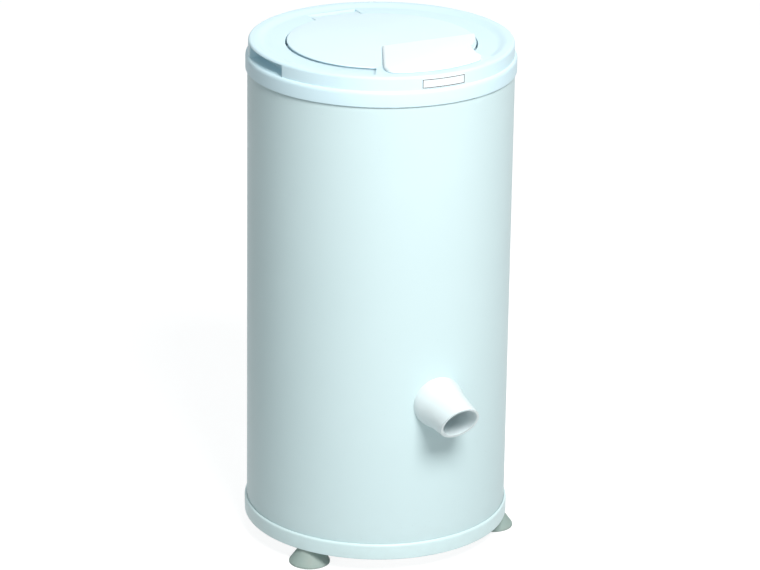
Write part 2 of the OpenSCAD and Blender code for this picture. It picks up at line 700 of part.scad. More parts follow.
// Suspension: a steel spring between two rubber pads under each arm
module suspension_springs() {
    color([0.5, 0.52, 0.55])
    for (az = foot_azs) at_az(az) translate([arm_r, 0, 0]) tube(spring_points, spring_wire_r, 6);
}
module spring_buffers() {
    color([0.2, 0.21, 0.21])
    for (az = foot_azs, z = [seat_z, z_arm - buffer_t - 0.05]) at_az(az) translate([arm_r, 0, z])
        turned([[7, 0.05], [20, 0.05], [20, buffer_t - 1], [19, buffer_t], [8, buffer_t], [7, buffer_t - 1]]);
}

// Capacitor in the pan's socket, terminal block and the cord's inlet
module capacitor() {
    color([0.8, 0.81, 0.82])
    at_az(cap_az) translate([cap_axis_r, 0, z_pan + 2.8]) {
        turned([[0, 0], [cap_r - 1, 0], [cap_r, 1], [cap_r, 77], [cap_r - 1.5, 78.5], [0, 78.5]]);
        for (s = [-7, 7]) translate([-0.4, s - 3, 78]) cube([0.8, 6, 9]);
    }
}
module terminal_block() {
    color([0.9, 0.9, 0.86])
    at_az(-120) translate([cap_axis_r, 0, z_pan + run])
    difference() {
        translate([-10, -26, 0]) cube([20, 52, 17]);
        for (s = [-18:12:18]) translate([-2, s - 4, 8]) cube([20, 8, 12]);
        for (s = [-18:12:18]) translate([-6, s, 9]) cylinder(r = 2.5, h = 12);
    }
}
module cord_gland() {
    color([0.2, 0.21, 0.21])
    radial(-150, casing_r - 9, gland_z)
    difference() {
        turned([[0, 0], [9.5, 0], [11, 2], [11, 7.3], [8, 7.3], [8, 9.15], [11, 9.15], [11, 10.6],
            [9.5, 11.8], [0, 11.8]]);
        translate([0, 0, -1]) cylinder(r = 4, h = 20);
    }
}

// ---------------------------------------------------------------- brake

// Plate under the lower shield with the lever's pivot and the seat of the cable's sheath
module brake_bracket() {
    z0 = z_stator - 27;
    color([0.6, 0.62, 0.63])
    difference() {
        union() {
            translate([0, 0, z0]) linear_extrude(2.9)
                polygon([[-54, -60], [-36, -62], [0, -52], [44, -42], [56, -34], [56, -24], [40, -24],
                    [24, -30], [0, -36], [-24, -36], [-54, -44]]);
            translate([brake_pivot[0], -brake_pivot[1], lever_z - 2]) cylinder(r = 3, h = z0 - lever_z + 3);
            bar([cable_end_x - 7, cable_end_x + 7], [27, 33], [38, z0 + 1]);
        }
        translate([cable_end_x, -20, 42]) rotate([90, 0, 0]) cylinder(r = 2, h = 20);
    }
}

// Lever beside the brake drum, pulled by the cable at its free end
module brake_lever() {
    color([0.68, 0.69, 0.7]) {
        difference() {
            union() {
                bar([brake_pivot[0], cable_end_x + 5], [48.5, 54.5], [lever_z, lever_z + lever_h]);
                translate([brake_pivot[0], -brake_pivot[1], lever_z]) cylinder(r = 6.5, h = lever_h);
            }
            translate([brake_pivot[0], -brake_pivot[1], 0]) cylinder(r = 3 + run, h = 100);
        }
        translate([cable_end_x, -48.6, 42]) rotate([-90, 0, 0]) cylinder(r = 0.8, h = 17.6);
    }
}
module brake_pad() {
    color([0.25, 0.2, 0.17])
    intersection() {
        translate([0, 0, lever_z - 2]) difference() {
            cylinder(r = 60, h = lever_h + 4);
            translate([0, 0, -1]) cylinder(r = brake_r + 3.4, h = 20);
        }
        bar([-17, 17], [30, 48.5], [lever_z - 2, lever_z + lever_h + 2]);
    }
}
module brake_spring() {
    color([0.5, 0.52, 0.55])
    translate([brake_pivot[0], -brake_pivot[1], lever_z + lever_h + 0.3])
    difference() {
        cylinder(r = 5.5, h = z_stator - 27 - lever_z - lever_h - 0.4);
        translate([0, 0, -1]) cylinder(r = 3 + 0.3, h = 20);
    }
}

// Brake cable's sheath, whole, from the lock's wall to the bracket
module brake_cable() {
    color([0.25, 0.26, 0.27]) tube([for (p = cable_route) [p[0], -p[1], p[2]]], cable_r, 8);
}

// ---------------------------------------------------------------- lock

// Box behind the throat's window, open towards it
module lock_housing() {
    w = lock_w / 2;
    color([0.75, 0.78, 0.78])
    difference() {
        union() {
            bar([-w, w], [lock_f0, lock_f1], [lock_z0, lock_z1]);
            bar([-w - 10, w + 10], [lock_f0 + 10, lock_f0 + 24], [lock_z1 - lock_t, lock_z1]);
        }
        bar([lock_t - w, w - lock_t], [lock_f0 - 1, lock_f1 - lock_t], [lock_z0 + lock_t, lock_z1 - lock_t]);
        translate([-2.8, -lock_f1 + 10, button_z]) rotate([90, 0, 0]) cylinder(r = 1.4, h = 20);
        for (x = [-21, 21]) translate([x, -lock_f0 - 17, lock_z1 - 5]) cylinder(r = 1.7, h = 12);
    }
}
module strike_plate() {
    w = lock_w / 2 - lock_t - 0.1;
    z = z_hook + hook_h + 0.8;
    color([0.72, 0.73, 0.74]) {
        bar([-w, w], [lock_f0 + 0.1, lock_f0 + 9], [z, z + 2]);
        for (s = [-1, 1]) bar([s * (w - 1) - 1, s * (w - 1) + 1], [lock_f0 + 0.1, lock_f0 + 9],
            [z, lock_z1 - lock_t - run]);
    }
}

// Slider that the hook pushes outwards; its right side lets the switch's button out
module interlock_slider() {
    color([0.85, 0.5, 0.2]) {
        translate([0, 0, slider_z0]) linear_extrude(slider_h)
            polygon([[-5, -slider_f], [5, -slider_f], [5, -button_f + 1.5], [5 - button_travel, -button_f - 3.5],
                [5 - button_travel, -slider_f - slider_len], [-5, -slider_f - slider_len]]);
        translate([-2.8, -slider_f - slider_len + 0.5, button_z]) rotate([90, 0, 0])
            cylinder(r = 0.7, h = lock_f1 - slider_f - slider_len);
    }
}
module slider_spring() {
    color([0.5, 0.52, 0.55])
    translate([1.4, -slider_f - slider_len - 0.3, button_z]) rotate([90, 0, 0])
    difference() {
        cylinder(r = 2.2, h = lock_f1 - lock_t - slider_f - slider_len - 0.5);
        translate([0, 0, -1]) cylinder(r = 1.5, h = 30);
    }
}
module micro_switch() {
    color([0.15, 0.15, 0.17])
    difference() {
        bar([6.6, lock_w / 2 - lock_t - 0.1], [button_f - 6, button_f + 9], [slider_z0 - 0.3, slider_z0 + slider_h]);
        x_rod(1.55, 6, 9, button_f, button_z);
    }
}
module switch_button() {
    color([0.8, 0.25, 0.2])
    translate([5.2, -button_f, button_z]) rotate([0, 90, 0]) {
        translate([0, 0, 0.8]) cylinder(r = 1.5, h = 2.4);
        cylinder(r1 = 0.7, r2 = 1.5, h = 0.8);
    }
}

// ---------------------------------------------------------------- lid

module hinge_pin() {
    color([0.75, 0.76, 0.78]) x_rod(hinge_pin_r, -boss_x - 10, boss_x + 10, -hinge_y, hinge_z);
}

// Domed lid with its skirt, the hinge's tab and barrel, ribs for the pins, and slots under
// the handle
lid_steps = 10;
lid_screw_azs = [15, 75, 135, 195, 255, 315];
function rib_top(x) = dome(norm([x, handle_f + 5])) - 1.2;
module lid_shell() {
    edge_r = lid_r - 1.5;
    top = [for (i = [0:lid_steps]) let (r = edge_r * i / lid_steps) [r, dome(r)]];
    under = [for (i = [lid_steps:-1:0]) let (r = (lid_r - 2.5) * i / lid_steps) [r, dome(r) - lid_skin]];
    color([0.9, 0.97, 0.98])
    difference() {
        union() {
            turned(concat(top, arc([edge_r, dome(edge_r) - 1.5], 1.5, 75, 0, 4),
                [[lid_r, z_skirt], [lid_r - 2.5, z_skirt]], under));
            bar([-barrel_half, barrel_half], [-hinge_y, -lid_r + 7], [z_top - 7.2, z_top - 4.8]);
            x_rod(barrel_r, -barrel_half, barrel_half, -hinge_y, hinge_z);
            for (x = [10.8, 81.2]) side_plate(x, 5.6,
                [[handle_f - 5, handle_z - 3], [handle_f + 5, handle_z - 3],
                    [handle_f + 5, rib_top(x)], [handle_f - 5, rib_top(x)]]);
            for (x = [-9.8, 9.8]) side_plate(x, 4.4,
                [[latch_f - 5, latch_z - 4.5], [latch_f + 5, latch_z - 4.5],
                    [latch_f + 5, dome(latch_f) - 2], [latch_f - 5, dome(latch_f) - 2]]);
            for (az = lid_screw_azs) at_az(az) translate([lid_r - 10, 0, z_skirt + 0.05])
                cylinder(r = 3.4, h = dome(lid_r - 6) - z_skirt - 1.5);
        }
        x_rod(hinge_pin_r + run, -barrel_half - 5, barrel_half + 5, -hinge_y, hinge_z);
        x_rod(small_pin_r + 0.02, 0, 95, handle_f, handle_z);
        x_rod(small_pin_r + 0.02, -20, 20, latch_f, latch_z);
        for (x = [18, 74]) bar([x - 4.6, x + 4.6], [handle_f - 2.7, handle_f + 7.5], [handle_z + 0.5, z_top + 5]);
        bar([-6, 6], [nose_f - 7.5, latch_f - 4], [latch_z + 4, z_top + 5]);
        for (az = lid_screw_azs) at_az(az) translate([lid_r - 10, 0, z_skirt - 1]) cylinder(r = 1.3, h = 8);
    }
}

// Dished liner below, with a slot for the hook
module lid_liner() {
    z0 = z_ledge - 2.5;
    color([0.8, 0.86, 0.87])
    difference() {
        turned([[0, z0], [liner_r - 1.5, z0], [liner_r, z0 + 1.5], [liner_r, z_flange], [lid_r - 0.7, z_flange],
            [lid_r - 0.7, z_skirt - 0.1], [liner_r - liner_t, z_skirt - 0.1],
            [liner_r - liner_t, z0 + liner_t], [0, z0 + liner_t]]);
        bar([-6.5, 6.5], [latch_f - 9, liner_r - liner_t - 0.1], [z0 - 1, z0 + liner_t + 1]);
        for (az = lid_screw_azs) at_az(az) translate([lid_r - 10, 0, z_flange - 1]) cylinder(r = 1.7, h = 8);
    }
}
module lid_seal() {
    color([0.62, 0.65, 0.65])
    turned([[throat_r + 1.6, z_ledge + 1.2], [throat_r + 2.6, z_ledge + 0.25], [throat_r + 5.4, z_ledge + 0.25],
        [throat_r + 6.4, z_ledge + 1.2], [throat_r + 6.4, z_flange - run], [throat_r + 1.6, z_flange - run]]);
}
module lid_screws() {
    color([0.72, 0.73, 0.74])
    for (az = lid_screw_azs) at_az(az) translate([lid_r - 10, 0, z_flange - run])
        mirror([0, 0, 1]) screw(1.25, 8, 2.8, 1.6);
}
module handle_pin() {
    color([0.75, 0.76, 0.78]) x_rod(small_pin_r, 8, 84, handle_f, handle_z);
}
module handle_spring() {
    color([0.5, 0.52, 0.55])
    difference() {
        x_rod(small_pin_r + 0.8, 22.6, 40, handle_f, handle_z);
        x_rod(small_pin_r + 0.15, 20, 50, handle_f, handle_z);
    }
}
module latch_pin() {
    color([0.75, 0.76, 0.78]) x_rod(small_pin_r, -12, 12, latch_f, latch_z);
}

// Handle: a hollow cap over the lid's front and the bridge, with two ears on its pin and a
// tongue whose toe lifts the latch's nose
module lid_handle() {
    below = concat([[0, z_top - 60]], [for (i = [0:lid_steps]) let (r = lid_r * i / lid_steps) [r, dome(r) + 0.5]],
        [[lid_r + 0.1, z_top + 0.5], [casing_r + 20, z_top + 0.5], [casing_r + 20, z_top - 60]]);
    color([0.95, 1, 1])
    difference() {
        union() {
            difference() {
                translate([0, 0, z_top - 6]) mirror([0, 1, 0]) linear_extrude(handle_rise + 6)
                    polygon(handle_outline(0));
                turned(below);
                translate([0, 0, z_top - 6]) mirror([0, 1, 0]) linear_extrude(handle_rise + 6 - handle_t)
                    polygon(handle_outline(handle_t));
                bar([-100, 200], [handle_back - 5, handle_back + 9], [z_top - 20, handle_top - 2]);
            }
            for (x = [18, 74]) {
                x_rod(3.4, x - 4, x + 4, handle_f, handle_z);
                side_plate(x, 8, [[handle_f - 1.4, handle_z], [handle_f + 3.4, handle_z],
                    [handle_f + 7, handle_top - handle_t + 0.2], [handle_f - 0.2, handle_top - handle_t + 0.2]]);
            }
            side_plate(0, 7, [[nose_f - 6, latch_z - 4.4], [nose_f + 0.6, latch_z - 4.4], [nose_f + 0.6, latch_z - 2],
                [nose_f - 3, latch_z - 2], [nose_f - 3, handle_top - handle_t + 0.2],
                [nose_f - 6, handle_top - handle_t + 0.2]]);
        }
        x_rod(small_pin_r + run, 0, 95, handle_f, handle_z);
    }
}

// Latch: a rocker whose nose rests over the handle's toe and whose hook holds the strike
module latch_hook() {
    color([0.72, 0.73, 0.74])
    difference() {
        union() {
            side_plate(0, 8, [[nose_f, latch_z - 1.6], [nose_f, latch_z + 1.6], [latch_f - 3, latch_z + 3],
                [latch_f + 3, latch_z + 3], [latch_f + 6, latch_z - 2], [latch_f + 6, z_hook + hook_h],
                [hook_f - 0.5, z_hook + hook_h], [hook_f, z_hook + hook_h - 0.5], [hook_f, z_hook + 2.5],
                [hook_f - 4, z_hook], [latch_f + 1.5, z_hook], [latch_f + 1, latch_z - 5],
                [latch_f - 6, latch_z - 3]]);
            x_rod(1.6, -4, 4, nose_f, latch_z);
            x_rod(4.6, -7.2, 7.2, latch_f, latch_z);
        }
        x_rod(small_pin_r + run, -20, 20, latch_f, latch_z);
    }
}

// ---------------------------------------------------------------- drum and shaft

// Perforated drum with a rolled mouth
module drum() {
    z0 = z_drum0;
    z1 = z_drum1;
    rows_z0 = z0 + 26;
    row_step = (z1 - 34 - rows_z0) / (hole_rows - 1);
    color([0.78, 0.79, 0.8])
    difference() {
        turned(concat(
            [[22, z0]], arc([drum_r - 8, z0 + 8], 8, -90, 0, 4), arc([drum_r - 8, z1 - 8], 8, 0, 90, 4),
            [[mouth_r, z1], [mouth_r, z1 - drum_t]],
            arc([drum_r - 8, z1 - 8], 8 - drum_t, 90, 0, 4), arc([drum_r - 8, z0 + 8], 8 - drum_t, 0, -90, 4),
            [[22, z0 + drum_t]]));
        for (row = [0:hole_rows - 1], k = [0:holes_round - 1])
            radial((k + 0.5 * (row % 2)) * 360 / holes_round, drum_r - 5, rows_z0 + row * row_step)
                cylinder(r = hole_r, h = 10, $fn = 24);
        for (k = [0:11]) at_az(k * 30) translate([82, 0, z0 - 1]) cylinder(r = hole_r, h = 4, $fn = 24);
    }
}
module drum_hub() {
    color([0.66, 0.67, 0.68])
    turned([[9 + run, z_drum0 - 4], [50, z_drum0 - 4], [50, z_drum0 - run], [22 - run, z_drum0 - run],
        [22 - run, z_drum0 + 6], [19, z_drum0 + 28], [16, z_drum0 + 30], [9 + run, z_drum0 + 30]]);
}
module drum_nut() {
    color([0.75, 0.76, 0.78])
    translate([0, 0, z_drum0 + 30 + run])
    difference() {
        hex(13, 11);
        translate([0, 0, -1]) cylinder(r = 7 + run, h = 14);
    }
}

// Stepped shaft from the brake drum to the drum's nut
module motor_shaft() {
    color([0.75, 0.76, 0.78])
    turned([[0, brake_z - 3], [shaft_foot_r - 1, brake_z - 3], [shaft_foot_r, brake_z - 2],
        [shaft_foot_r, z_stator - 19], [bearing_low_r, z_stator - 19], [bearing_low_r, z_stator - 4],
        [rotor_seat_r, z_stator - 4], [rotor_seat_r, z_upper_bearing - 2], [shaft_r, z_upper_bearing - 2],
        [shaft_r, z_drum0 - 5], [9, z_drum0 - 5], [9, z_drum0 + 29], [7, z_drum0 + 29.5], [7, z_drum0 + 43],
        [6, z_drum0 + 44], [0, z_drum0 + 44]]);
}
module rotor_core() {
    color([0.5, 0.5, 0.52])
    turned([[rotor_seat_r + run, z_stator + 1], [rotor_r, z_stator + 1], [rotor_r, z_stator_top - 1],
        [rotor_seat_r + run, z_stator_top - 1]]);
}
module cooling_fan() {
    z0 = z_stator_top + 1;
    color([0.3, 0.32, 0.33])
    difference() {
        union() {
            translate([0, 0, z0]) cylinder(r = 18, h = 11);
            translate([0, 0, z0]) cylinder(r = rotor_r - 1, h = 1.5);
            for (az = [0:40:320]) at_az(az) translate([16, -0.8, z0 + 0.5]) cube([rotor_r - 18, 1.6, 10]);
        }
        translate([0, 0, z0 - 1]) cylinder(r = rotor_seat_r + run, h = 20);
    }
}
module brake_drum() {
    color([0.6, 0.6, 0.62])
    turned([[shaft_foot_r + run, brake_z], [brake_r, brake_z], [brake_r, brake_z + brake_h],
        [brake_r - 3, brake_z + brake_h], [brake_r - 3, brake_z + 3], [14, brake_z + 3],
        [14, brake_z + brake_h], [shaft_foot_r + run, brake_z + brake_h]]);
}

casing();
base_ring();
base_pan();
foot_front_left();
foot_front_right();
foot_rear();
foot_screws();
top_collar();
name_plate();
plastic_screws();
loading_funnel();
tub();
drain_spout();
spout_nut();
outlet_seal();
neck_gaiter();
bearing_housing();
upper_bearing();
lower_bearing();
shaft_seal();
upper_end_shield();
lower_end_shield();
stator_core();
stator_windings();
motor_carrier();
motor_bolts();
suspension_springs();
spring_buffers();
brake_bracket();
brake_spring();
brake_cable();
capacitor();
terminal_block();
cord_gland();
lock_housing();
strike_plate();
micro_switch();
slider_spring();
hinge_pin();
lid_shell();
lid_liner();
lid_seal();
lid_screws();
handle_pin();
handle_spring();
latch_pin();
lid_handle();
latch_hook();
interlock_slider();
switch_button();
brake_lever();
brake_pad();
drum();
drum_hub();
drum_nut();
motor_shaft();
rotor_core();
cooling_fan();
brake_drum();
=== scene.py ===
"""Looks of a laundry spin dryer: its mouldings, sheet metal, finishes, studio and camera."""
import json
import logging
import math
from collections.abc import Callable, Iterator
from contextlib import contextmanager
from dataclasses import dataclass, field
from enum import Enum

import bmesh
import bpy
from mathutils import Matrix, Vector

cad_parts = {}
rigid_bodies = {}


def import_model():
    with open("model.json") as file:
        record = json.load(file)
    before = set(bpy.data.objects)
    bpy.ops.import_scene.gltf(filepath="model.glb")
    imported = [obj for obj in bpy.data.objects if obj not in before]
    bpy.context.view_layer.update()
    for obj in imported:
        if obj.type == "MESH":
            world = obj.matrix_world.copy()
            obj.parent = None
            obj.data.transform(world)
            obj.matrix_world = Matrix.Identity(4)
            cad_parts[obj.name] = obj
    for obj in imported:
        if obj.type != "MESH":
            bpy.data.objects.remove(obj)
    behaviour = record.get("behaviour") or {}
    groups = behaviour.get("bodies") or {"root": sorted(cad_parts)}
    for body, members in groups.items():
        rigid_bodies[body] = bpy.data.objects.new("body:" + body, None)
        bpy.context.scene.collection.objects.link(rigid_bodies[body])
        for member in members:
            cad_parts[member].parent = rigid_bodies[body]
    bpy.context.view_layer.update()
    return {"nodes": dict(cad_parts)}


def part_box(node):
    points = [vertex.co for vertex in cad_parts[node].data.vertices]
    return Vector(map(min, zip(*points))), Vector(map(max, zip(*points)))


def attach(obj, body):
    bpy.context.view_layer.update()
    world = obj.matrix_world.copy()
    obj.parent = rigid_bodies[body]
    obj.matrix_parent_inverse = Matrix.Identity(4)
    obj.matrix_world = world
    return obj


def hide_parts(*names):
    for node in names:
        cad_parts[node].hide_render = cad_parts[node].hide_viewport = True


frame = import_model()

LOG = logging.getLogger("spin_dryer")
MM = 0.001
Corner = tuple[float, ...]
Colour = tuple[float, float, float]
Piece = bpy.types.Object
Material = bpy.types.Material
Node = bpy.types.Node
Socket = bpy.types.NodeSocket
Tree = bpy.types.NodeTree


class Joining(Enum):
    """How one solid is worked into another."""

    CUT = "DIFFERENCE"
    FUSE = "UNION"


class Slot(Enum):
    """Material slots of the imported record."""

    ENAMEL = "enamel"
    BASE = "base_plastic"
    COLLAR = "collar_plastic"
    LID = "lid_plastic"
    HANDLE = "handle_plastic"
    SPOUT = "spout_plastic"
    PLATE = "plate"
    INNER = "inner_plastic"
    TUB = "tub_plastic"
    BLACK = "black_plastic"
    SLIDER = "slider_plastic"
    BUTTON = "button_plastic"
    SHEATH = "cable_sheath"
    LINING = "brake_lining"
    FOOT = "foot_rubber"
    BLACK_RUBBER = "black_rubber"
    SEAL = "seal_rubber"
    ZINC = "zinc_steel"
    SHEET = "zinc_sheet"
    BRIGHT = "bright_steel"
    SPRING = "spring_steel"
    DRUM = "drum_steel"
    LAMINATION = "lamination"
    IRON = "brake_iron"
    ALUMINIUM = "cast_aluminium"
    CAN = "capacitor_can"
    COPPER = "copper_wire"


# ------------------------------------------------------------------ bench tools


def only(piece: Piece) -> None:
    """Select one piece alone and make it the active one.

    Args:
        piece: the piece.
    """
    bpy.ops.object.select_all(action="DESELECT")
    piece.select_set(True)
    bpy.context.view_layer.objects.active = piece


def settle(piece: Piece) -> None:
    """Bring a piece's object to the origin, unturned and unscaled, with its place in its mesh."""
    only(piece)
    bpy.ops.object.transform_apply(location=True, rotation=True, scale=True)


def curve(start: Corner, control: Corner, end: Corner, parts: int) -> list[Corner]:
    """Points of a soft corner between two places.

    Args:
        start: first point, as radius and height.
        control: the corner that the curve leans towards.
        end: last point.
        parts: number of straight parts.

    Returns:
        The points, the first and last among them.
    """
    a, b, c = Vector(start), Vector(control), Vector(end)
    steps = [i / parts for i in range(parts + 1)]
    return [tuple(a * (1 - t) ** 2 + b * 2 * t * (1 - t) + c * t * t) for t in steps]


def softened(points: list[Corner], parts: int = 4) -> list[Corner]:
    """Round the corners of a closed section that name a radius.

    Args:
        points: corners in order; a third value on one is the radius of its rounding.
        parts: straight parts in each rounding.

    Returns:
        The section's corners as pairs.
    """
    out: list[Corner] = []
    for i, here in enumerate(points):
        at = Vector(here[:2])
        if len(here) < 3:
            out.append(tuple(at))
            continue
        back = Vector(points[i - 1][:2]) - at
        on = Vector(points[(i + 1) % len(points)][:2]) - at
        reach = here[2] / math.tan(back.angle(on) / 2)
        reach = min(reach, 0.45 * back.length, 0.45 * on.length)
        first = at + back.normalized() * reach
        last = at + on.normalized() * reach
        out += curve(tuple(first), tuple(at), tuple(last), parts)
    return out


def outwards() -> None:
    """Turn all faces of the piece that is being edited outwards."""
    bpy.ops.mesh.select_all(action="SELECT")
    bpy.ops.mesh.normals_make_consistent(inside=False)


def fill_ends() -> None:
    """Close the open ends of the piece that is being edited."""
    bpy.ops.mesh.select_all(action="DESELECT")
    bpy.ops.mesh.select_non_manifold()
    bpy.ops.mesh.fill_holes(sides=0)


@contextmanager
def opened(piece: Piece, kind: str = "EDGE") -> Iterator[bmesh.types.BMesh]:
    """Open a piece in edit mode with nothing selected, and close it afterwards.

    Args:
        piece: the piece.
        kind: what is selected in it, EDGE or FACE.

    Yields:
        The mesh that is being edited.
    """
    only(piece)
    bpy.ops.object.mode_set(mode="EDIT")
    bpy.ops.mesh.select_mode(type=kind)
    bpy.ops.mesh.select_all(action="DESELECT")
    yield bmesh.from_edit_mesh(piece.data)
    bpy.ops.object.mode_set(mode="OBJECT")


def wire(name: str, path: list[Vector]) -> Piece:
    """Draw a closed wire by extruding one vertex from place to place, and stay in edit mode.

    Args:
        name: name of the new object.
        path: places along the wire, in metres.

    Returns:
        The object that holds the wire.
    """
    bpy.ops.object.select_all(action="DESELECT")
    bpy.ops.mesh.primitive_plane_add(size=0.001, location=path[0])
    piece = bpy.context.object
    piece.name = name
    bpy.ops.object.mode_set(mode="EDIT")
    bpy.ops.mesh.select_mode(type="VERT")
    bpy.ops.mesh.merge(type="CENTER")
    for here, there in zip(path, [*path[1:], path[0]]):
        bpy.ops.mesh.extrude_vertices_move(TRANSFORM_OT_translate={"value": tuple(there - here)})
    bpy.ops.mesh.select_all(action="SELECT")
    bpy.ops.mesh.remove_doubles(threshold=1e-7)
    return piece


def turned(
    name: str,
    section: list[Corner],
    steps: int = 240,
    azimuths: tuple[float, float] | None = None,
) -> Piece:
    """Turn a closed section about the drum's axis.

    Args:
        name: name of the new piece.
        section: corners of the section, as radius and height in millimetres.
        steps: number of steps all round, or over the sector.
        azimuths: first and last azimuth of a sector in degrees, or None for all round.

    Returns:
        The turned piece, its object at the origin.
    """
    piece = wire(name, [Vector((r * MM, 0.0, z * MM)) for r, z in section])
    first, last = azimuths or (0.0, 360.0)
    bpy.ops.mesh.select_all(action="SELECT")
    bpy.ops.mesh.spin(
        steps=steps, angle=math.radians(last - first), center=(0, 0, 0), axis=(0, 0, 1)
    )
    bpy.ops.mesh.select_all(action="SELECT")
    bpy.ops.mesh.remove_doubles(threshold=1e-6)
    if azimuths:
        fill_ends()
    outwards()
    bpy.ops.object.mode_set(mode="OBJECT")
    settle(piece)
    if azimuths:
        piece.rotation_euler.z = math.radians(last - 90)
        settle(piece)
    return piece


def raised(name: str, path: list[Vector], push: Corner) -> Piece:
    """Fill a closed wire and push it out into a solid.

    Args:
        name: name of the new piece.
        path: places along the wire, in metres.
        push: how far and which way it is pushed, in millimetres.

    Returns:
        The solid, its object at the origin.
    """
    piece = wire(name, path)
    bpy.ops.mesh.edge_face_add()
    bpy.ops.mesh.extrude_region_move(TRANSFORM_OT_translate={"value": [v * MM for v in push]})
    outwards()
    bpy.ops.object.mode_set(mode="OBJECT")
    settle(piece)
    return piece


def slab(name: str, outline: list[Corner], low: float, high: float) -> Piece:
    """Raise an outline in plan, as X and distance forward, into a slab between two heights."""
    path = [Vector((x, -f, low)) * MM for x, f in outline]
    return raised(name, path, (0, 0, high - low))


def plate(name: str, x: float, width: float, outline: list[Corner]) -> Piece:
    """Raise an outline seen from the side into an upright plate, its middle at X x."""
    path = [Vector((x - width / 2, -f, z)) * MM for f, z in outline]
    return raised(name, path, (width, 0, 0))


def block(name: str, low: Corner, high: Corner) -> Piece:
    """Add a block between two corners.

    Args:
        name: name of the new piece.
        low: its lowest X, Y and Z in millimetres, Y towards the back.
        high: its highest X, Y and Z.

    Returns:
        The block, its object at the origin.
    """
    bpy.ops.object.select_all(action="DESELECT")
    size = [(b - a) * MM for a, b in zip(low, high)]
    middle = [(a + b) / 2 * MM for a, b in zip(low, high)]
    bpy.ops.mesh.primitive_cube_add(size=1, location=middle, scale=size)
    bpy.context.object.name = name
    settle(bpy.context.object)
    return bpy.context.object


def rod(
    name: str, radius: float, length: float, middle: Corner, tilt: Corner, sides: int = 48
) -> Piece:
    """Add a round bar.

    Args:
        name: name of the new object.
        radius: its radius in millimetres.
        length: its length.
        middle: place of its middle in millimetres.
        tilt: turns about X, Y and Z in degrees, from upright.
        sides: number of its sides.

    Returns:
        The bar, its object at the origin.
    """
    bpy.ops.object.select_all(action="DESELECT")
    bpy.ops.mesh.primitive_cylinder_add(
        vertices=sides,
        radius=radius * MM,
        depth=length * MM,
        location=[v * MM for v in middle],
        rotation=[math.radians(v) for v in tilt],
    )
    bpy.context.object.name = name
    settle(bpy.context.object)
    return bpy.context.object


def across(name: str, radius: float, x0: float, x1: float, f: float, z: float) -> Piece:
    """Add a round bar that runs from side to side, between X x0 and x1."""
    return rod(name, radius, x1 - x0, ((x0 + x1) / 2, -f, z), (0, 90, 0))


def at(azimuth: float, reach: float, z: float = 0.0) -> Corner:
    """A place at an azimuth and a distance from the drum's axis, in millimetres."""
    a = math.radians(azimuth)
    return (reach * math.sin(a), -reach * math.cos(a), z)


def upright(
    name: str, radius: float, low: float, high: float, azimuth: float, reach: float
) -> Piece:
    """Add an upright round bar at an azimuth, a distance reach from the drum's axis."""
    middle = at(azimuth, reach, (low + high) / 2)
    return rod(name, radius, high - low, middle, (0, 0, 0), 32)


def radial(
    name: str, radius: float, length: float, azimuth: float, reach: float, z: float
) -> Piece:
    """Add a round bar that points out from the drum's axis, its middle at reach."""
    return rod(name, radius, length, at(azimuth, reach, z), (90, 0, azimuth), 32)


def gather(pieces: list[Piece]) -> Piece:
    """Join several pieces' meshes into the first.

    Args:
        pieces: the pieces.

    Returns:
        The first piece, which holds all of them now.
    """
    only(pieces[0])
    if len(pieces) > 1:
        for piece in pieces:
            piece.select_set(True)
        bpy.ops.object.join()
    return pieces[0]


def copy_of(piece: Piece) -> Piece:
    """Copy a piece with its own mesh.

    Args:
        piece: the piece.

    Returns:
        The copy.
    """
    only(piece)
    bpy.ops.object.duplicate(linked=False)
    return bpy.context.object


def shape(piece: Piece, kind: str, **settings: object) -> None:
    """Add a modifier to a piece and apply it.

    Args:
        piece: the piece.
        kind: the modifier's type.
        settings: its properties.
    """
    only(piece)
    bpy.ops.object.modifier_add(type=kind)
    modifier = piece.modifiers[-1]
    for name, value in settings.items():
        setattr(modifier, name, value)
    bpy.ops.object.modifier_apply(modifier=modifier.name)


def work(piece: Piece, tools: list[Piece], how: Joining) -> None:
    """Cut pieces away from another, or fuse them onto it.

    Args:
        piece: the piece that stays.
        tools: the pieces that are used up.
        how: whether they cut or fuse.
    """
    several = len(tools) > 1
    tool = gather(tools)
    shape(piece, "BOOLEAN", operation=how.value, solver="EXACT", use_self=several, object=tool)
    bpy.data.objects.remove(tool, do_unlink=True)


def ease(piece: Piece, width: float, angle: float = 40.0) -> None:
    """Round a piece's sharp edges with a bevel, width in millimetres, over angle degrees."""
    settings = {"limit_method": "ANGLE", "miter_outer": "MITER_ARC", "segments": 3}
    shape(piece, "BEVEL", width=width * MM, angle_limit=math.radians(angle), **settings)


def ease_where(
    piece: Piece, test: Callable[[Vector], bool], width: float, angle: float = 35.0
) -> None:
    """Round a piece's sharp edges where their middles pass a test.

    Args:
        piece: the piece.
        test: takes an edge's middle in metres and says whether the edge is rounded.
        width: width of the rounding in millimetres.
        angle: least angle between an edge's faces, in degrees.
    """
    with opened(piece) as mesh:
        for edge in mesh.edges:
            sharp = len(edge.link_faces) == 2 and edge.calc_face_angle(0.0) > math.radians(angle)
            if sharp and test((edge.verts[0].co + edge.verts[1].co) / 2):
                edge.select_set(True)
        bmesh.update_edit_mesh(piece.data)
        bpy.ops.mesh.bevel(offset=width * MM, segments=2, clamp_overlap=True)
        bpy.ops.mesh.select_all(action="SELECT")
        bpy.ops.mesh.remove_doubles(threshold=2e-6)


def azimuth_of(place: Vector) -> float:
    """Azimuth of a place in degrees, from 0 at the front towards +X."""
    return math.degrees(math.atan2(place.x, -place.y))


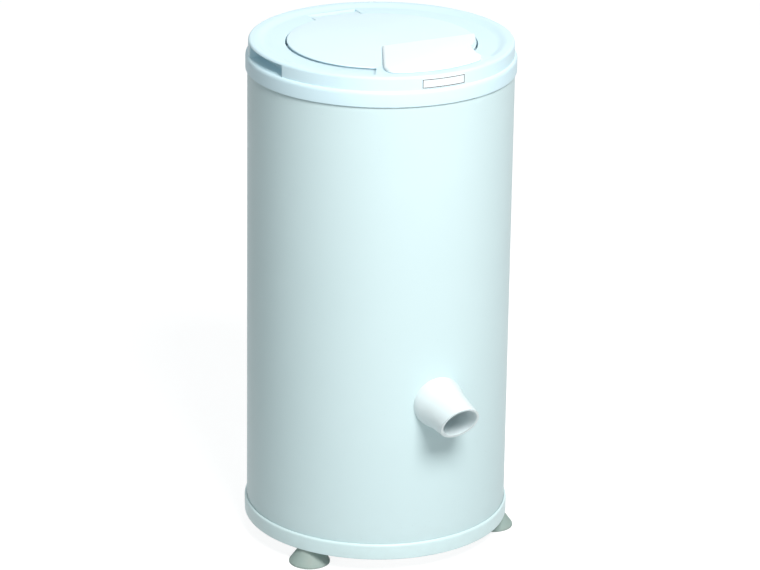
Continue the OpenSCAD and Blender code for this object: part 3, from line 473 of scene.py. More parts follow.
@dataclass
class Handover:
    """Puts finished pieces into the shared frame with their finish."""

    finishes: dict[Slot, Material]
    done: list[str] = field(default_factory=list)

    def give(
        self,
        piece: Piece,
        body: str,
        slot: Slot,
        node: str,
        angle: float = 32.0,
        extra: list[Slot] | None = None,
    ) -> None:
        """Smooth a piece, dress it and set it in place of its node.

        Args:
            piece: the finished piece.
            body: the body that it rides on.
            slot: the slot of its finish.
            node: the node that it stands for.
            angle: edges sharper than this stay sharp.
            extra: slots of its other finishes, by face index.
        """
        settle(piece)
        bpy.ops.object.shade_smooth_by_angle(angle=math.radians(angle))
        marks = [face.material_index for face in piece.data.polygons]
        piece.data.materials.clear()
        for each in [slot, *(extra or [])]:
            piece.data.materials.append(self.finishes[each])
        piece.data.polygons.foreach_set("material_index", marks)
        piece.name = node + "_piece"
        piece.data.name = piece.name
        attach(piece, body)
        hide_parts(node)
        self.done.append(node)
        LOG.info("made %s with %d faces", piece.name, len(piece.data.polygons))


# ------------------------------------------------------------------ finishes


@dataclass
class Desk:
    """A node tree that is being wired."""

    tree: Tree

    def add(self, kind: str, **settings: object) -> Node:
        """Add a node.

        Args:
            kind: the node's type.
            settings: its properties.

        Returns:
            The node.
        """
        node = self.tree.nodes.new(kind)
        for name, value in settings.items():
            setattr(node, name, value)
        return node

    def feed(self, socket: Socket, value: object) -> None:
        """Link another socket to an input, or set the input's default.

        Args:
            socket: the input.
            value: another socket, or a number, a vector or a colour.
        """
        if isinstance(value, Socket):
            self.tree.links.new(value, socket)
        else:
            socket.default_value = value

    def set(self, node: Node, **values: object) -> Node:
        """Feed a node's inputs, named with _ for each space.

        Args:
            node: the node.
            values: what goes into each input.

        Returns:
            The node.
        """
        for name, value in values.items():
            self.feed(node.inputs[name.replace("_", " ")], value)
        return node

    def place(self) -> Socket:
        """Object coordinates."""
        return self.add("ShaderNodeTexCoord").outputs["Object"]

    def stretched(self, scale: Corner) -> Socket:
        """Object coordinates stretched by a scale along each axis."""
        node = self.add("ShaderNodeMapping")
        return self.set(node, Vector=self.place(), Scale=scale).outputs["Vector"]

    def parts(self, vector: Socket) -> bpy.types.NodeOutputs:
        """The X, Y and Z of a vector."""
        return self.set(self.add("ShaderNodeSeparateXYZ"), Vector=vector).outputs

    def noise(self, scale: float | Socket, detail: float = 2.0, where: object = None) -> Socket:
        """Value noise.

        Args:
            scale: its scale.
            detail: its detail.
            where: the coordinates that it follows, or None for Object coordinates.

        Returns:
            The noise.
        """
        node = self.add("ShaderNodeTexNoise")
        where = self.place() if where is None else where
        return self.set(node, Vector=where, Scale=scale, Detail=detail).outputs["Fac"]

    def sum(self, kind: str, a: object, b: object, clamp: bool = False) -> Socket:
        """Work out one number from two by a Math node.

        Args:
            kind: the operation.
            a: first number, or a socket.
            b: second number, or a socket.
            clamp: whether the result is kept between 0 and 1.

        Returns:
            The result.
        """
        node = self.add("ShaderNodeMath", operation=kind, use_clamp=clamp)
        self.feed(node.inputs[0], a)
        self.feed(node.inputs[1], b)
        return node.outputs[0]

    def span(self, value: Socket, old: tuple[float, float], new: tuple[float, float]) -> Socket:
        """Map a number from one span to another and keep it inside the new one.

        Args:
            value: the number.
            old: the span that it comes in.
            new: the span that it goes out in.

        Returns:
            The mapped number.
        """
        node = self.add("ShaderNodeMapRange")
        self.set(node, Value=value, From_Min=old[0], From_Max=old[1])
        return self.set(node, To_Min=new[0], To_Max=new[1]).outputs["Result"]

    def blend(self, mask: Socket, a: object, b: object) -> Socket:
        """Mix two colours by a mask.

        Args:
            mask: 0 for the first colour, 1 for the second.
            a: first colour, or a socket.
            b: second colour, or a socket.

        Returns:
            The mixed colour.
        """
        node = self.add("ShaderNodeMix", data_type="RGBA")
        self.feed(node.inputs[0], mask)
        for index, value in ((6, a), (7, b)):
            self.feed(node.inputs[index], (*value, 1) if isinstance(value, tuple) else value)
        return node.outputs[2]

    def effect(self, group: Tree, **values: object) -> Node:
        """Place a shared effect with its own values."""
        node = self.add("ShaderNodeGroup", node_tree=group)
        return self.set(node, **values)


class Effects:
    """Shared effects, each a node group that is built once."""

    def __init__(self) -> None:
        """Build every effect."""
        self.grain = self.make_grain()
        self.dust = self.make_dust()
        self.wear = self.make_wear()
        self.brush = self.make_brush()

    def start(self, name: str, inputs: dict[str, float], outputs: list[str]) -> Desk:
        """Begin a group.

        Args:
            name: the group's name.
            inputs: its inputs' names and usual values.
            outputs: its outputs' names.

        Returns:
            The desk that it is wired on.
        """
        tree = bpy.data.node_groups.new(name, "ShaderNodeTree")
        for each, value in inputs.items():
            socket = tree.interface.new_socket(each, in_out="INPUT", socket_type="NodeSocketFloat")
            socket.default_value = value
        for each in outputs:
            tree.interface.new_socket(each, in_out="OUTPUT", socket_type="NodeSocketFloat")
        desk = Desk(tree)
        desk.add("NodeGroupInput")
        desk.add("NodeGroupOutput")
        return desk

    def ends(self, desk: Desk) -> tuple[bpy.types.NodeOutputs, bpy.types.NodeInputs]:
        """A group's incoming and outgoing sockets."""
        return desk.tree.nodes[0].outputs, desk.tree.nodes[1].inputs

    def make_grain(self) -> Tree:
        """Fine grain of a moulding or casting, with a slow mottling of its tone.

        Returns:
            The group.
        """
        desk = self.start("grain", {"Scale": 900.0, "Slow": 14.0}, ["Height", "Mottle"])
        into, out = self.ends(desk)
        fine = desk.noise(into["Scale"], 3.0)
        coarse = desk.noise(desk.sum("MULTIPLY", into["Scale"], 0.27), 1.0)
        coarse = desk.sum("MULTIPLY", coarse, 0.4)
        desk.feed(out["Height"], desk.sum("ADD", desk.sum("MULTIPLY", fine, 0.6), coarse))
        desk.feed(out["Mottle"], desk.span(desk.noise(into["Slow"], 4.0), (0.3, 0.7), (0.0, 1.0)))
        return desk.tree

    def make_dust(self) -> Tree:
        """Dust that lies on upward faces and gathers low down.

        Returns:
            The group.
        """
        desk = self.start("dust", {"Amount": 0.3, "Reach": 0.12}, ["Mask"])
        into, out = self.ends(desk)
        height = desk.sum("DIVIDE", desk.parts(desk.place())["Z"], into["Reach"])
        low = desk.sum("SUBTRACT", 1.0, height, True)
        facing = desk.add("ShaderNodeNewGeometry").outputs["Normal"]
        up = desk.span(desk.parts(facing)["Z"], (0.4, 1.0), (0.0, 0.5))
        patch = desk.span(desk.noise(60.0, 6.0), (0.35, 0.75), (0.0, 1.0))
        lying = desk.sum("MULTIPLY", desk.sum("MAXIMUM", low, up), patch)
        desk.feed(out["Mask"], desk.sum("MULTIPLY", lying, into["Amount"], True))
        return desk.tree

    def make_wear(self) -> Tree:
        """Wear along raised edges.

        Returns:
            The group.
        """
        desk = self.start("edge_wear", {"Amount": 0.5}, ["Mask"])
        into, out = self.ends(desk)
        point = desk.add("ShaderNodeNewGeometry").outputs["Pointiness"]
        edge = desk.span(point, (0.52, 0.6), (0.0, 1.0))
        patch = desk.span(desk.noise(240.0, 3.0), (0.35, 0.65), (0.2, 1.0))
        worn = desk.sum("MULTIPLY", edge, patch)
        desk.feed(out["Mask"], desk.sum("MULTIPLY", worn, into["Amount"], True))
        return desk.tree

    def make_brush(self) -> Tree:
        """Marks of brushing or drawing, in rings about the upright axis.

        Returns:
            The group.
        """
        desk = self.start("brushing", {"Fine": 2600.0}, ["Height", "Streak"])
        into, out = self.ends(desk)
        x, y, z = desk.parts(desk.place())
        square = desk.sum("ADD", desk.sum("POWER", x, 2.0), desk.sum("POWER", y, 2.0))
        lined = desk.add("ShaderNodeCombineXYZ")
        where = desk.set(lined, X=desk.sum("POWER", square, 0.5), Z=z).outputs[0]
        broad = desk.noise(desk.sum("MULTIPLY", into["Fine"], 0.12), 3.0, where)
        desk.feed(out["Height"], desk.noise(into["Fine"], 2.0, where))
        desk.feed(out["Streak"], desk.span(broad, (0.3, 0.7), (0.0, 1.0)))
        return desk.tree


@dataclass(frozen=True)
class Finish:
    """A finish: its two tones, how rough it is and how deep its texture."""

    tone: Colour
    shade: Colour
    rough: float = 0.4
    rough_spread: float = 0.06
    grain: float = 900.0
    depth: float = 0.02
    metal: float = 0.0
    gloss: float = 0.5
    dust: float = 0.0
    dust_tone: Colour = (0.42, 0.40, 0.36)
    round_edge: float = 0.0

    def begin(self, slot: Slot) -> tuple[Material, Desk, Node]:
        """Make the material with its shader, at the values that are the same all over.

        Args:
            slot: the slot that it fills.

        Returns:
            The material, the desk that it is wired on, and its shader.
        """
        material = bpy.data.materials.new("finish_" + slot.value)
        material.use_nodes = True
        desk = Desk(material.node_tree)
        shader = material.node_tree.nodes["Principled BSDF"]
        desk.set(shader, Metallic=self.metal, Specular_IOR_Level=self.gloss)
        material.diffuse_color = (*self.tone, 1)
        return material, desk, shader

    def raise_surface(self, desk: Desk, shader: Node, height: Socket) -> None:
        """Turn a height into the shader's normal, over softened edges where asked.

        Args:
            desk: the desk that the material is wired on.
            shader: the material's shader.
            height: what the surface's relief follows.
        """
        bump = desk.add("ShaderNodeBump")
        desk.set(bump, Height=height, Strength=1.0, Distance=self.depth * MM)
        if self.round_edge:
            soft = desk.add("ShaderNodeBevel", samples=4)
            desk.set(soft, Radius=self.round_edge * MM)
            desk.set(bump, Normal=soft.outputs["Normal"])
        desk.set(shader, Normal=bump.outputs["Normal"])

    def cover(
        self,
        desk: Desk,
        shader: Node,
        effects: Effects,
        colour: Socket,
        rough: tuple[Socket, float, float],
        height: Socket,
    ) -> None:
        """Give the shader its colour, its roughness and its surface.

        Args:
            desk: the desk that the material is wired on.
            shader: the material's shader.
            effects: the shared effects.
            colour: the colour, before any dust lies on it.
            rough: what the roughness follows, and the span of that.
            height: what the surface's relief follows.
        """
        if self.dust:
            mask = desk.effect(effects.dust, Amount=self.dust, Reach=0.12).outputs["Mask"]
            colour = desk.blend(mask, colour, self.dust_tone)
        low, high = self.rough - self.rough_spread, self.rough + self.rough_spread
        roughness = desk.span(rough[0], rough[1:], (low, high))
        desk.set(shader, Base_Color=colour, Roughness=roughness)
        self.raise_surface(desk, shader, height)

    def make(self, slot: Slot, effects: Effects) -> Material:
        """Build the finish as a moulded or painted surface.

        Args:
            slot: the slot that it fills.
            effects: the shared effects.

        Returns:
            The material.
        """
        material, desk, shader = self.begin(slot)
        grain = desk.effect(effects.grain, Scale=self.grain, Slow=14.0).outputs
        colour = desk.blend(grain["Mottle"], self.tone, self.shade)
        self.cover(desk, shader, effects, colour, (grain["Height"], 0.3, 0.7), grain["Height"])
        return material


@dataclass(frozen=True)
class Enamel(Finish):
    """Stoved paint on sheet steel, with a faint orange peel and a slow waviness."""

    peel: float = 420.0
    speck_tone: Colour = (0.30, 0.36, 0.36)

    def make(self, slot: Slot, effects: Effects) -> Material:
        """Build the paint, with its peel over the grain of the moulded finishes.

        Args:
            slot: the slot that it fills.
            effects: the shared effects.

        Returns:
            The material.
        """
        material, desk, shader = self.begin(slot)
        grain = desk.effect(effects.grain, Scale=self.peel, Slow=5.0).outputs
        colour = desk.blend(grain["Mottle"], self.tone, self.shade)
        specks = desk.add("ShaderNodeTexVoronoi", feature="F1")
        desk.set(specks, Vector=desk.place(), Scale=95.0)
        speck = desk.span(specks.outputs["Distance"], (0.035, 0.05), (0.22, 0.0))
        colour = desk.blend(speck, colour, self.speck_tone)
        self.cover(desk, shader, effects, colour, (grain["Mottle"], 0.0, 1.0), grain["Height"])
        return material


@dataclass(frozen=True)
class Metal(Finish):
    """Bare or plated metal with marks of how it was made, and wear along its edges."""

    metal: float = 1.0
    wear: float = 0.5
    worn: Colour = (0.75, 0.75, 0.74)
    brushed: bool = False

    def worn_down(self, desk: Desk, effects: Effects, colour: Socket) -> Socket:
        """Let worn metal show along the edges of a colour."""
        mask = desk.effect(effects.wear, Amount=self.wear).outputs["Mask"]
        return desk.blend(mask, colour, self.worn)

    def make(self, slot: Slot, effects: Effects) -> Material:
        """Build the metal: its tones follow the brushing or the grain.

        Args:
            slot: the slot that it fills.
            effects: the shared effects.

        Returns:
            The material.
        """
        material, desk, shader = self.begin(slot)
        if self.brushed:
            height, mottle = desk.effect(effects.brush, Fine=self.grain).outputs
        else:
            height, mottle = desk.effect(effects.grain, Scale=self.grain, Slow=40.0).outputs
        colour = self.worn_down(desk, effects, desk.blend(mottle, self.tone, self.shade))
        self.cover(desk, shader, effects, colour, (mottle, 0.0, 1.0), height)
        return material


@dataclass(frozen=True)
class Spangled(Metal):
    """Galvanised sheet, with the crystals of its zinc."""

    crystal: float = 130.0

    def make(self, slot: Slot, effects: Effects) -> Material:
        """Build the sheet: each crystal has its own tone and roughness.

        Args:
            slot: the slot that it fills.
            effects: the shared effects.

        Returns:
            The material.
        """
        material, desk, shader = self.begin(slot)
        drift = desk.add("ShaderNodeTexNoise")
        desk.set(drift, Vector=desk.place(), Scale=60.0, Detail=2.0)
        lean = desk.add("ShaderNodeVectorMath", operation="SCALE")
        desk.set(lean, Vector=drift.outputs["Color"], Scale=0.006)
        warp = desk.add("ShaderNodeVectorMath", operation="ADD")
        desk.feed(warp.inputs[0], desk.place())
        desk.feed(warp.inputs[1], lean.outputs[0])
        cells = desk.add("ShaderNodeTexVoronoi", feature="F1")
        desk.set(cells, Vector=warp.outputs[0], Scale=self.crystal)
        apart = desk.add("ShaderNodeSeparateColor")
        red, green, _ = desk.set(apart, Color=cells.outputs["Color"]).outputs
        colour = self.worn_down(desk, effects, desk.blend(red, self.tone, self.shade))
        grain = desk.effect(effects.grain, Scale=self.grain, Slow=40.0).outputs["Height"]
        self.cover(desk, shader, effects, colour, (green, 0.0, 1.0), grain)
        return material


@dataclass(frozen=True)
class Lined(Finish):
    """A surface of fine layers or strands laid across one direction."""

    lines: float = 900.0
    across: Corner = (0.0, 0.0, 1.0)
    cracked: float = 0.15

    def make(self, slot: Slot, effects: Effects) -> Material:
        """Build the layers as waves that a little noise disturbs.

        Args:
            slot: the slot that it fills.
            effects: the shared effects.

        Returns:
            The material.
        """
        material, desk, shader = self.begin(slot)
        wave = desk.add("ShaderNodeTexWave", wave_type="BANDS", bands_direction="DIAGONAL")
        desk.set(wave, Vector=desk.stretched(self.across), Scale=self.lines)
        band = desk.set(wave, Distortion=self.cracked, Detail=2.0).outputs["Fac"]
        mottle = desk.effect(effects.grain, Scale=self.grain, Slow=60.0).outputs["Mottle"]
        colour = desk.blend(desk.sum("MULTIPLY", band, mottle, True), self.shade, self.tone)
        self.cover(desk, shader, effects, colour, (mottle, 0.0, 1.0), band)
        return material


class FinishBook:
    """Every finish of the machine, by slot."""

    book: dict[Slot, Finish] = {
        Slot.ENAMEL: Enamel((0.65, 0.805, 0.825), (0.63, 0.785, 0.805), 0.42, 0.03, depth=0.012,
                            gloss=0.15, dust=0.05),
        Slot.BASE: Finish((0.70, 0.87, 0.885), (0.67, 0.84, 0.855), 0.42, 0.05, 700, 0.02,
                          dust=0.12),
        Slot.COLLAR: Finish((0.685, 0.875, 0.945), (0.67, 0.86, 0.93), 0.42, 0.05, 1100, 0.012,
                            gloss=0.2),
        Slot.LID: Finish((0.735, 0.90, 0.965), (0.72, 0.885, 0.95), 0.42, 0.05, 1100, 0.012,
                         gloss=0.25),
        Slot.HANDLE: Finish((0.85, 0.93, 0.95), (0.83, 0.915, 0.94), 0.34, 0.05, 1100, 0.012),
        Slot.SPOUT: Finish((0.84, 0.93, 0.945), (0.81, 0.91, 0.93), 0.38, 0.05, 1100, 0.012),
        Slot.PLATE: Finish((0.83, 0.90, 0.92), (0.80, 0.88, 0.905), 0.3, 0.04, 1300, 0.008),
        Slot.INNER: Finish((0.70, 0.76, 0.77), (0.66, 0.73, 0.745), 0.46, 0.06, 800, 0.02,
                           dust=0.1, round_edge=0.5),
        Slot.TUB: Finish((0.50, 0.54, 0.55), (0.45, 0.49, 0.50), 0.5, 0.06, 600, 0.03, dust=0.25,
                         round_edge=0.6),
        Slot.BLACK: Finish((0.03, 0.032, 0.034), (0.045, 0.047, 0.05), 0.5, 0.07, 800, 0.02,
                           dust=0.3, round_edge=0.4),
        Slot.SLIDER: Finish((0.55, 0.16, 0.05), (0.48, 0.13, 0.04), 0.42, 0.05, 900, 0.015,
                            round_edge=0.3),
        Slot.BUTTON: Finish((0.55, 0.05, 0.04), (0.45, 0.04, 0.035), 0.4, 0.05, 900, 0.012,
                            round_edge=0.2),
        Slot.SHEATH: Finish((0.05, 0.052, 0.055), (0.075, 0.077, 0.08), 0.45, 0.08, 500, 0.03,
                            dust=0.3),
        Slot.LINING: Finish((0.16, 0.11, 0.075), (0.30, 0.22, 0.15), 0.85, 0.08, 1500, 0.12,
                            round_edge=0.3),
        Slot.FOOT: Finish((0.35, 0.45, 0.415), (0.31, 0.40, 0.37), 0.72, 0.08, 700, 0.05,
                          gloss=0.3, dust=0.25),
        Slot.BLACK_RUBBER: Finish((0.028, 0.029, 0.031), (0.05, 0.051, 0.054), 0.75, 0.1, 600,
                                  0.05, gloss=0.35, dust=0.35, round_edge=0.4),
        Slot.SEAL: Finish((0.40, 0.43, 0.44), (0.35, 0.38, 0.39), 0.7, 0.08, 700, 0.04,
                          gloss=0.35),
        Slot.ZINC: Metal((0.60, 0.61, 0.62), (0.50, 0.52, 0.54), 0.36, 0.1, 1200, 0.015,
                         wear=0.4, round_edge=0.25),
        Slot.SHEET: Spangled((0.58, 0.60, 0.62), (0.44, 0.46, 0.48), 0.42, 0.12, 900, 0.01,
                             dust=0.25, round_edge=0.4),
        Slot.BRIGHT: Metal((0.66, 0.66, 0.67), (0.56, 0.56, 0.58), 0.2, 0.08, 3000, 0.006,
                           brushed=True, round_edge=0.25),
        Slot.SPRING: Metal((0.30, 0.31, 0.33), (0.22, 0.23, 0.25), 0.34, 0.1, 1400, 0.02,
                           wear=0.3),
        Slot.DRUM: Metal((0.64, 0.645, 0.65), (0.54, 0.545, 0.555), 0.27, 0.08, 2600, 0.008,
                         brushed=True, wear=0.2),
        Slot.LAMINATION: Lined((0.34, 0.33, 0.32), (0.12, 0.115, 0.11), 0.5, 0.1, 900, 0.05, 0.9,
                               lines=130.0),
        Slot.IRON: Metal((0.33, 0.32, 0.31), (0.24, 0.225, 0.21), 0.5, 0.12, 900, 0.06,
                         worn=(0.5, 0.49, 0.48), dust=0.2, round_edge=0.4),
        Slot.ALUMINIUM: Metal((0.60, 0.61, 0.62), (0.50, 0.51, 0.525), 0.5, 0.1, 700, 0.08,
                              wear=0.5, dust=0.15, round_edge=0.6),
        Slot.CAN: Metal((0.62, 0.63, 0.645), (0.54, 0.55, 0.57), 0.3, 0.08, 2200, 0.01,
                        brushed=True, round_edge=0.4),
        Slot.COPPER: Lined((0.52, 0.21, 0.08), (0.16, 0.055, 0.02), 0.34, 0.08, 900, 0.2, 0.75,
                           lines=110.0, across=(0.3, 0.3, 1.0)),
    }

    def make_all(self) -> dict[Slot, Material]:
        """Build every finish."""
        effects = Effects()
        return {slot: finish.make(slot, effects) for slot, finish in self.book.items()}


def dress_nodes(finishes: dict[Slot, Material]) -> None:
    """Give every node of the frame the finish of its slot.

    Args:
        finishes: the materials, by slot.
    """
    by_name = {slot.value: material for slot, material in finishes.items()}
    for node in frame["nodes"].values():
        for held in node.material_slots:
            held.material = by_name[held.material.name.split(".")[0]]
    LOG.info("dressed %d nodes of the frame", len(frame["nodes"]))


# ------------------------------------------------------------------ the machine's pieces


@dataclass
class Spout:
    """The drain spout: a flared fairing on the casing, a slanted mouth and a tail inside."""

    lean: float = 96.8
    forward: float = 169.0
    height: float = 233.0
    bore: float = 22.5
    seal_bore: float = 21.5
    outer: float = 25.5
    base: float = 33.5
    length: float = 60.0
    slant: float = 25.5

    def seat(self, piece: Piece) -> Piece:
        """Bring a piece made along the upright axis onto the spout's own axis.

        Args:
            piece: the piece.

        Returns:
            The same piece.
        """
        piece.rotation_euler.x = math.radians(self.lean)
        piece.location = Vector((0, -self.forward, self.height)) * MM
        settle(piece)
        return piece

    def port(self, radius: float, back: float, front: float) -> Piece:
        """A round bar along the spout's axis, between two distances from the casing."""
        middle = (0, 0, (front + back) / 2)
        return self.seat(rod("port", radius, front - back, middle, (0, 0, 0), 128))

    def fairing(self) -> Piece:
        """The flared part outside the casing, cut to the casing's curve.

        Returns:
            The fairing, on the spout's own axis.
        """
        bore, base, outer = self.bore, self.base, self.outer
        section = [(bore + 1.3, -14), (base, -14), (base, 0.8)]
        section += curve((base, 1), (base - 1, 9), (base - 4.5, 22), 8)
        section += [(outer + 1.6, 43), (outer, 64), (outer, 82), (bore, 82)]
        section += [(bore, 7.5), (bore + 1.3, 7.5)]
        piece = turned("drain_spout", section, 128)
        cutter = rod("mouth", 80, 60, (0, 0, 30), (0, 0, 0), 8)
        cutter.rotation_euler.x = math.radians(self.slant)
        cutter.location.z = self.length * MM
        settle(cutter)
        work(piece, [cutter], Joining.CUT)
        ease(piece, 0.9, 38.0)
        self.seat(piece)
        round_casing = [(0.0, 100), (170.15, 100), (170.15, 350), (0.0, 350)]
        work(piece, [turned("casing_round", round_casing, 240)], Joining.CUT)
        return piece

    def tail(self) -> Piece:
        """The threaded tube through the casing, with the step for the outlet's seal.

        Returns:
            The tube, on the spout's own axis.
        """
        bore, seal, thread = self.bore, self.seal_bore, self.outer - 0.5
        section = [(seal, -30, 0.5), (thread, -30, 0.8), (thread, 9), (bore, 9)]
        section += [(bore, -12), (seal, -12)]
        return self.seat(turned("tail", softened(section), 128))

    def build(self, handover: Handover) -> None:
        """Make the spout in one piece.

        Args:
            handover: where the finished piece goes.
        """
        piece = self.fairing()
        work(piece, [self.tail()], Joining.FUSE)
        handover.give(piece, "frame", Slot.SPOUT, "drain_spout", 30)


@dataclass
class Casing:
    """The rolled sheet, with its port, its holes and the seam down its back."""

    radius: float = 170.0
    wall: float = 0.8
    low: float = 25.8
    high: float = 641.0
    back: float = 150.0
    gland_height: float = 66.0
    screw_height: float = 635.0

    def build(self, handover: Handover, spout: Spout) -> None:
        """Roll the sheet and cut it.

        Args:
            handover: where the finished piece goes.
            spout: the drain spout, for its port.
        """
        out, into, low, high = self.radius, self.radius - self.wall, self.low, self.high
        levels = [60.0, 180.0, 290.0, 620.0]
        section = [(into, low, 0.3), (out, low, 0.3), *((out, z) for z in levels)]
        section += [(out, high, 0.3), (into, high, 0.3), *((into, z) for z in reversed(levels))]
        piece = turned("casing", softened(section, 2), 288)
        cutters = [spout.port(spout.outer, -20, 20)]
        cutters.append(radial("gland_hole", 8.2, 20, -self.back, out, self.gland_height))
        for azimuth in (-self.back, self.back):
            cutters.append(radial("screw_hole", 2.0, 20, azimuth, out, self.screw_height))
        middle = (0, out + 0.25, (low + high) / 2)
        cutters.append(rod("seam", 0.5, 590, middle, (0, 0, 0), 8))
        work(piece, cutters, Joining.CUT)
        fold = block("fold", (-6, out - 2.4, low + 22), (6, out - self.wall + 0.2, high - 20))
        ease(fold, 0.4)
        work(piece, [fold], Joining.FUSE)
        handover.give(piece, "frame", Slot.ENAMEL, "casing", 30)


@dataclass
class Base:
    """The ring at the foot of the casing, and its three rubber feet."""

    ring_radius: float = 173.0
    inner: float = 140.5
    foot_reach: float = 156.0
    foot_height: float = 22.0
    foot_radius: float = 27.0
    azimuths: tuple[tuple[str, float], ...] = (
        ("foot_front_left", -60.0),
        ("foot_front_right", 60.0),
        ("foot_rear", 180.0),
    )

    def ring(self, handover: Handover) -> None:
        """Turn the ring and drill it for the feet's screws.

        Args:
            handover: where the finished piece goes.
        """
        r = self.ring_radius
        section = [(self.inner, 22, 0.5), (r, 22, 1.4), (r, 39)]
        section += curve((r, 39.4), (r, 42.2), (170.6, 43), 6)
        section += [(170.35, 42.9), (170.35, 25.5), (168.85, 25.5), (168.85, 39.5, 0.4)]
        section += [(166.5, 39.5, 0.4), (166.5, 25.5, 0.6), (self.inner, 25.5, 0.5)]
        piece = turned("base_ring", softened(section), 288)
        drills = [upright("drill", 4.2, 15, 35, az, self.foot_reach) for _, az in self.azimuths]
        work(piece, drills, Joining.CUT)
        handover.give(piece, "frame", Slot.BASE, "base_ring", 34)

    def feet(self, handover: Handover) -> None:
        """Mould one foot, with grooves in its sole, and copy it to the three places.

        Args:
            handover: where the finished piece goes.
        """
        r, h = self.foot_radius, self.foot_height
        section = [(0, 0), (9, 0, 0.3), (9.6, 1.0), (11.4, 1.0), (12, 0, 0.3)]
        section += [(17, 0, 0.3), (17.6, 1.0), (19.4, 1.0), (20, 0, 0.3)]
        section += [(r - 0.2, 0, 1.6), (r - 0.7, 2.8, 1.2), (19.2, 12.8, 5.0), (15, 18.6, 3.0)]
        section += [(15, h, 0.5), (4.05, h), (4.05, 8), (0, 8)]
        first = turned("foot", softened(section), 96)
        for name, azimuth in self.azimuths:
            foot = copy_of(first)
            foot.location = Vector(at(azimuth, self.foot_reach)) * MM
            handover.give(foot, "frame", Slot.FOOT, name, 34)
        bpy.data.objects.remove(first, do_unlink=True)


@dataclass
class Collar:
    """The top collar: bead, wall, rim, dished top, throat, side grips and hinge pocket."""

    top: float = 668.0
    dish: float = 664.05
    grips: tuple[float, float] = (-90, 90)
    grip_half: float = 15.8
    post_reach: float = 141.0
    hinge_back: float = 134.0
    hinge_height: float = 655.2
    posts: tuple[float, ...] = (-150, -90, -30, 30, 90, 150)

    def shell(self) -> Piece:
        """Turn the collar's wall from the bead over the rim and into the throat.

        Returns:
            The collar's plain body.
        """
        section = [(170.35, 632.6, 0.2), (171.7, 632.6, 0.2), (171.7, 630, 0.2), (172.5, 630, 0.3)]
        section += [(172.5, 637), (172.5, 644.5)]
        section += curve((172.5, 644.8), (172.5, 649.2), (169.0, 650.0), 8)[1:]
        section += [(169.0, 653), (169.0, 664.5)]
        turns = [math.radians(a) for a in (11, 23, 34, 45, 56, 68, 79, 90)]
        section += [(165.5 + 3.5 * math.cos(a), 664.5 + 3.5 * math.sin(a)) for a in turns]
        half = (self.top - self.dish) / 2
        waves = [i / 10 for i in range(11)]
        section += [(160 - 14 * t, self.dish + half * (1 + math.cos(math.pi * t))) for t in waves]
        section += [(122.2, 662.75, 0.5), (122.2, 650.5, 0.6)]
        section += [(112, 650.5, 1.0), (112, 616, 0.6), (114.5, 616, 0.6), (114.5, 648)]
        section += [(124.7, 648), (124.7, 660.3), (146, 661.5), (158, 665.3), (165.5, 665.5)]
        section += [(166.5, 664), (166.5, 644.3), (166.5, 626, 0.4), (168.85, 626, 0.4)]
        section += [(168.85, 641.3), (170.35, 641.3)]
        return turned("top_collar", softened(section, 5), 288)

    def additions(self) -> list[Piece]:
        """The bridge under the handle, the grips' walls, the posts and the hinge's well.

        Returns:
            The pieces that are fused onto the body.
        """
        bridge = [(122.2, 661.3), (122.2, 666.6, 0.9), (123.4, 667.6, 0.9), (158, 667.95)]
        bridge += [(158, 666), (151.5, 661.3)]
        parts = [turned("bridge", softened(bridge), 72, (-30, 35))]
        wall = [(145.5, 647.1), (167.5, 647.1), (167.5, 666.5), (154, 665.5), (145.5, 662)]
        for middle in self.grips:
            reach = self.grip_half + 1.2
            parts.append(turned("grip_wall", wall, 40, (middle - reach, middle + reach)))
        parts += [upright("post", 4.5, 616.1, 662.6, az, self.post_reach) for az in self.posts]
        for side in (-1, 1):
            parts.append(rod("lock_boss", 4, 16.5, (21 * side, -131.9, 654.5), (0, 0, 0), 32))
        parts.append(block("hinge_well", (-45.6, 124.9, 649.2), (45.6, 145.4, 662.4)))
        return parts

    def cutters(self) -> list[Piece]:
        """The grips' pockets, the hinge's pocket, the hook's window and the screw holes.

        Returns:
            The pieces that are cut away from it.
        """
        pocket = [(148, 649.8, 6.5), (178, 649.8), (178, 665.2), (158.5, 665.2)]
        pocket += [(152.5, 659.5), (148, 659.5, 1.5)]
        parts = []
        for middle in self.grips:
            ends = (middle - self.grip_half, middle + self.grip_half)
            parts.append(turned("grip_pocket", softened(pocket), 40, ends))
        parts.append(block("hinge_pocket", (-34.2, 115.2, 650.55), (34.2, 142.9, 673)))
        parts.append(block("hook_window", (-9.5, -117, 621.5), (9.5, -107, 640)))
        parts += [upright("pilot", 1.6, 613, 633, az, self.post_reach) for az in self.posts]
        for azimuth in (-150, 150):
            parts.append(radial("screw_hole", 1.6, 20, azimuth, 170, 635))
        return parts

    def near_grip(self, place: Vector) -> bool:
        """Whether a place lies on the rim of a side grip.

        Args:
            place: the place in metres.

        Returns:
            True where it does.
        """
        reach = math.hypot(place.x, place.y)
        off = abs(abs(azimuth_of(place)) - 90)
        inside = 0.6492 < place.z < 0.6659 and off < self.grip_half + 0.3
        return inside and reach > 0.1665

    def near_hinge(self, place: Vector) -> bool:
        """Whether a place lies on the upper rim of the hinge's pocket."""
        return place.z > 0.6615 and abs(place.x) < 0.0350 and 0.114 < place.y < 0.1435

    def build(self, handover: Handover) -> None:
        """Make the collar in one piece and round its cut edges.

        Args:
            handover: where the finished piece goes.
        """
        piece = self.shell()
        work(piece, self.additions(), Joining.FUSE)
        work(piece, self.cutters(), Joining.CUT)
        pin = across("pin_hole", 2.52, -56, 56, -self.hinge_back, self.hinge_height)
        work(piece, [pin], Joining.CUT)
        ease_where(piece, self.near_grip, 0.8)
        ease_where(piece, self.near_hinge, 0.6)
        handover.give(piece, "frame", Slot.COLLAR, "top_collar", 30)


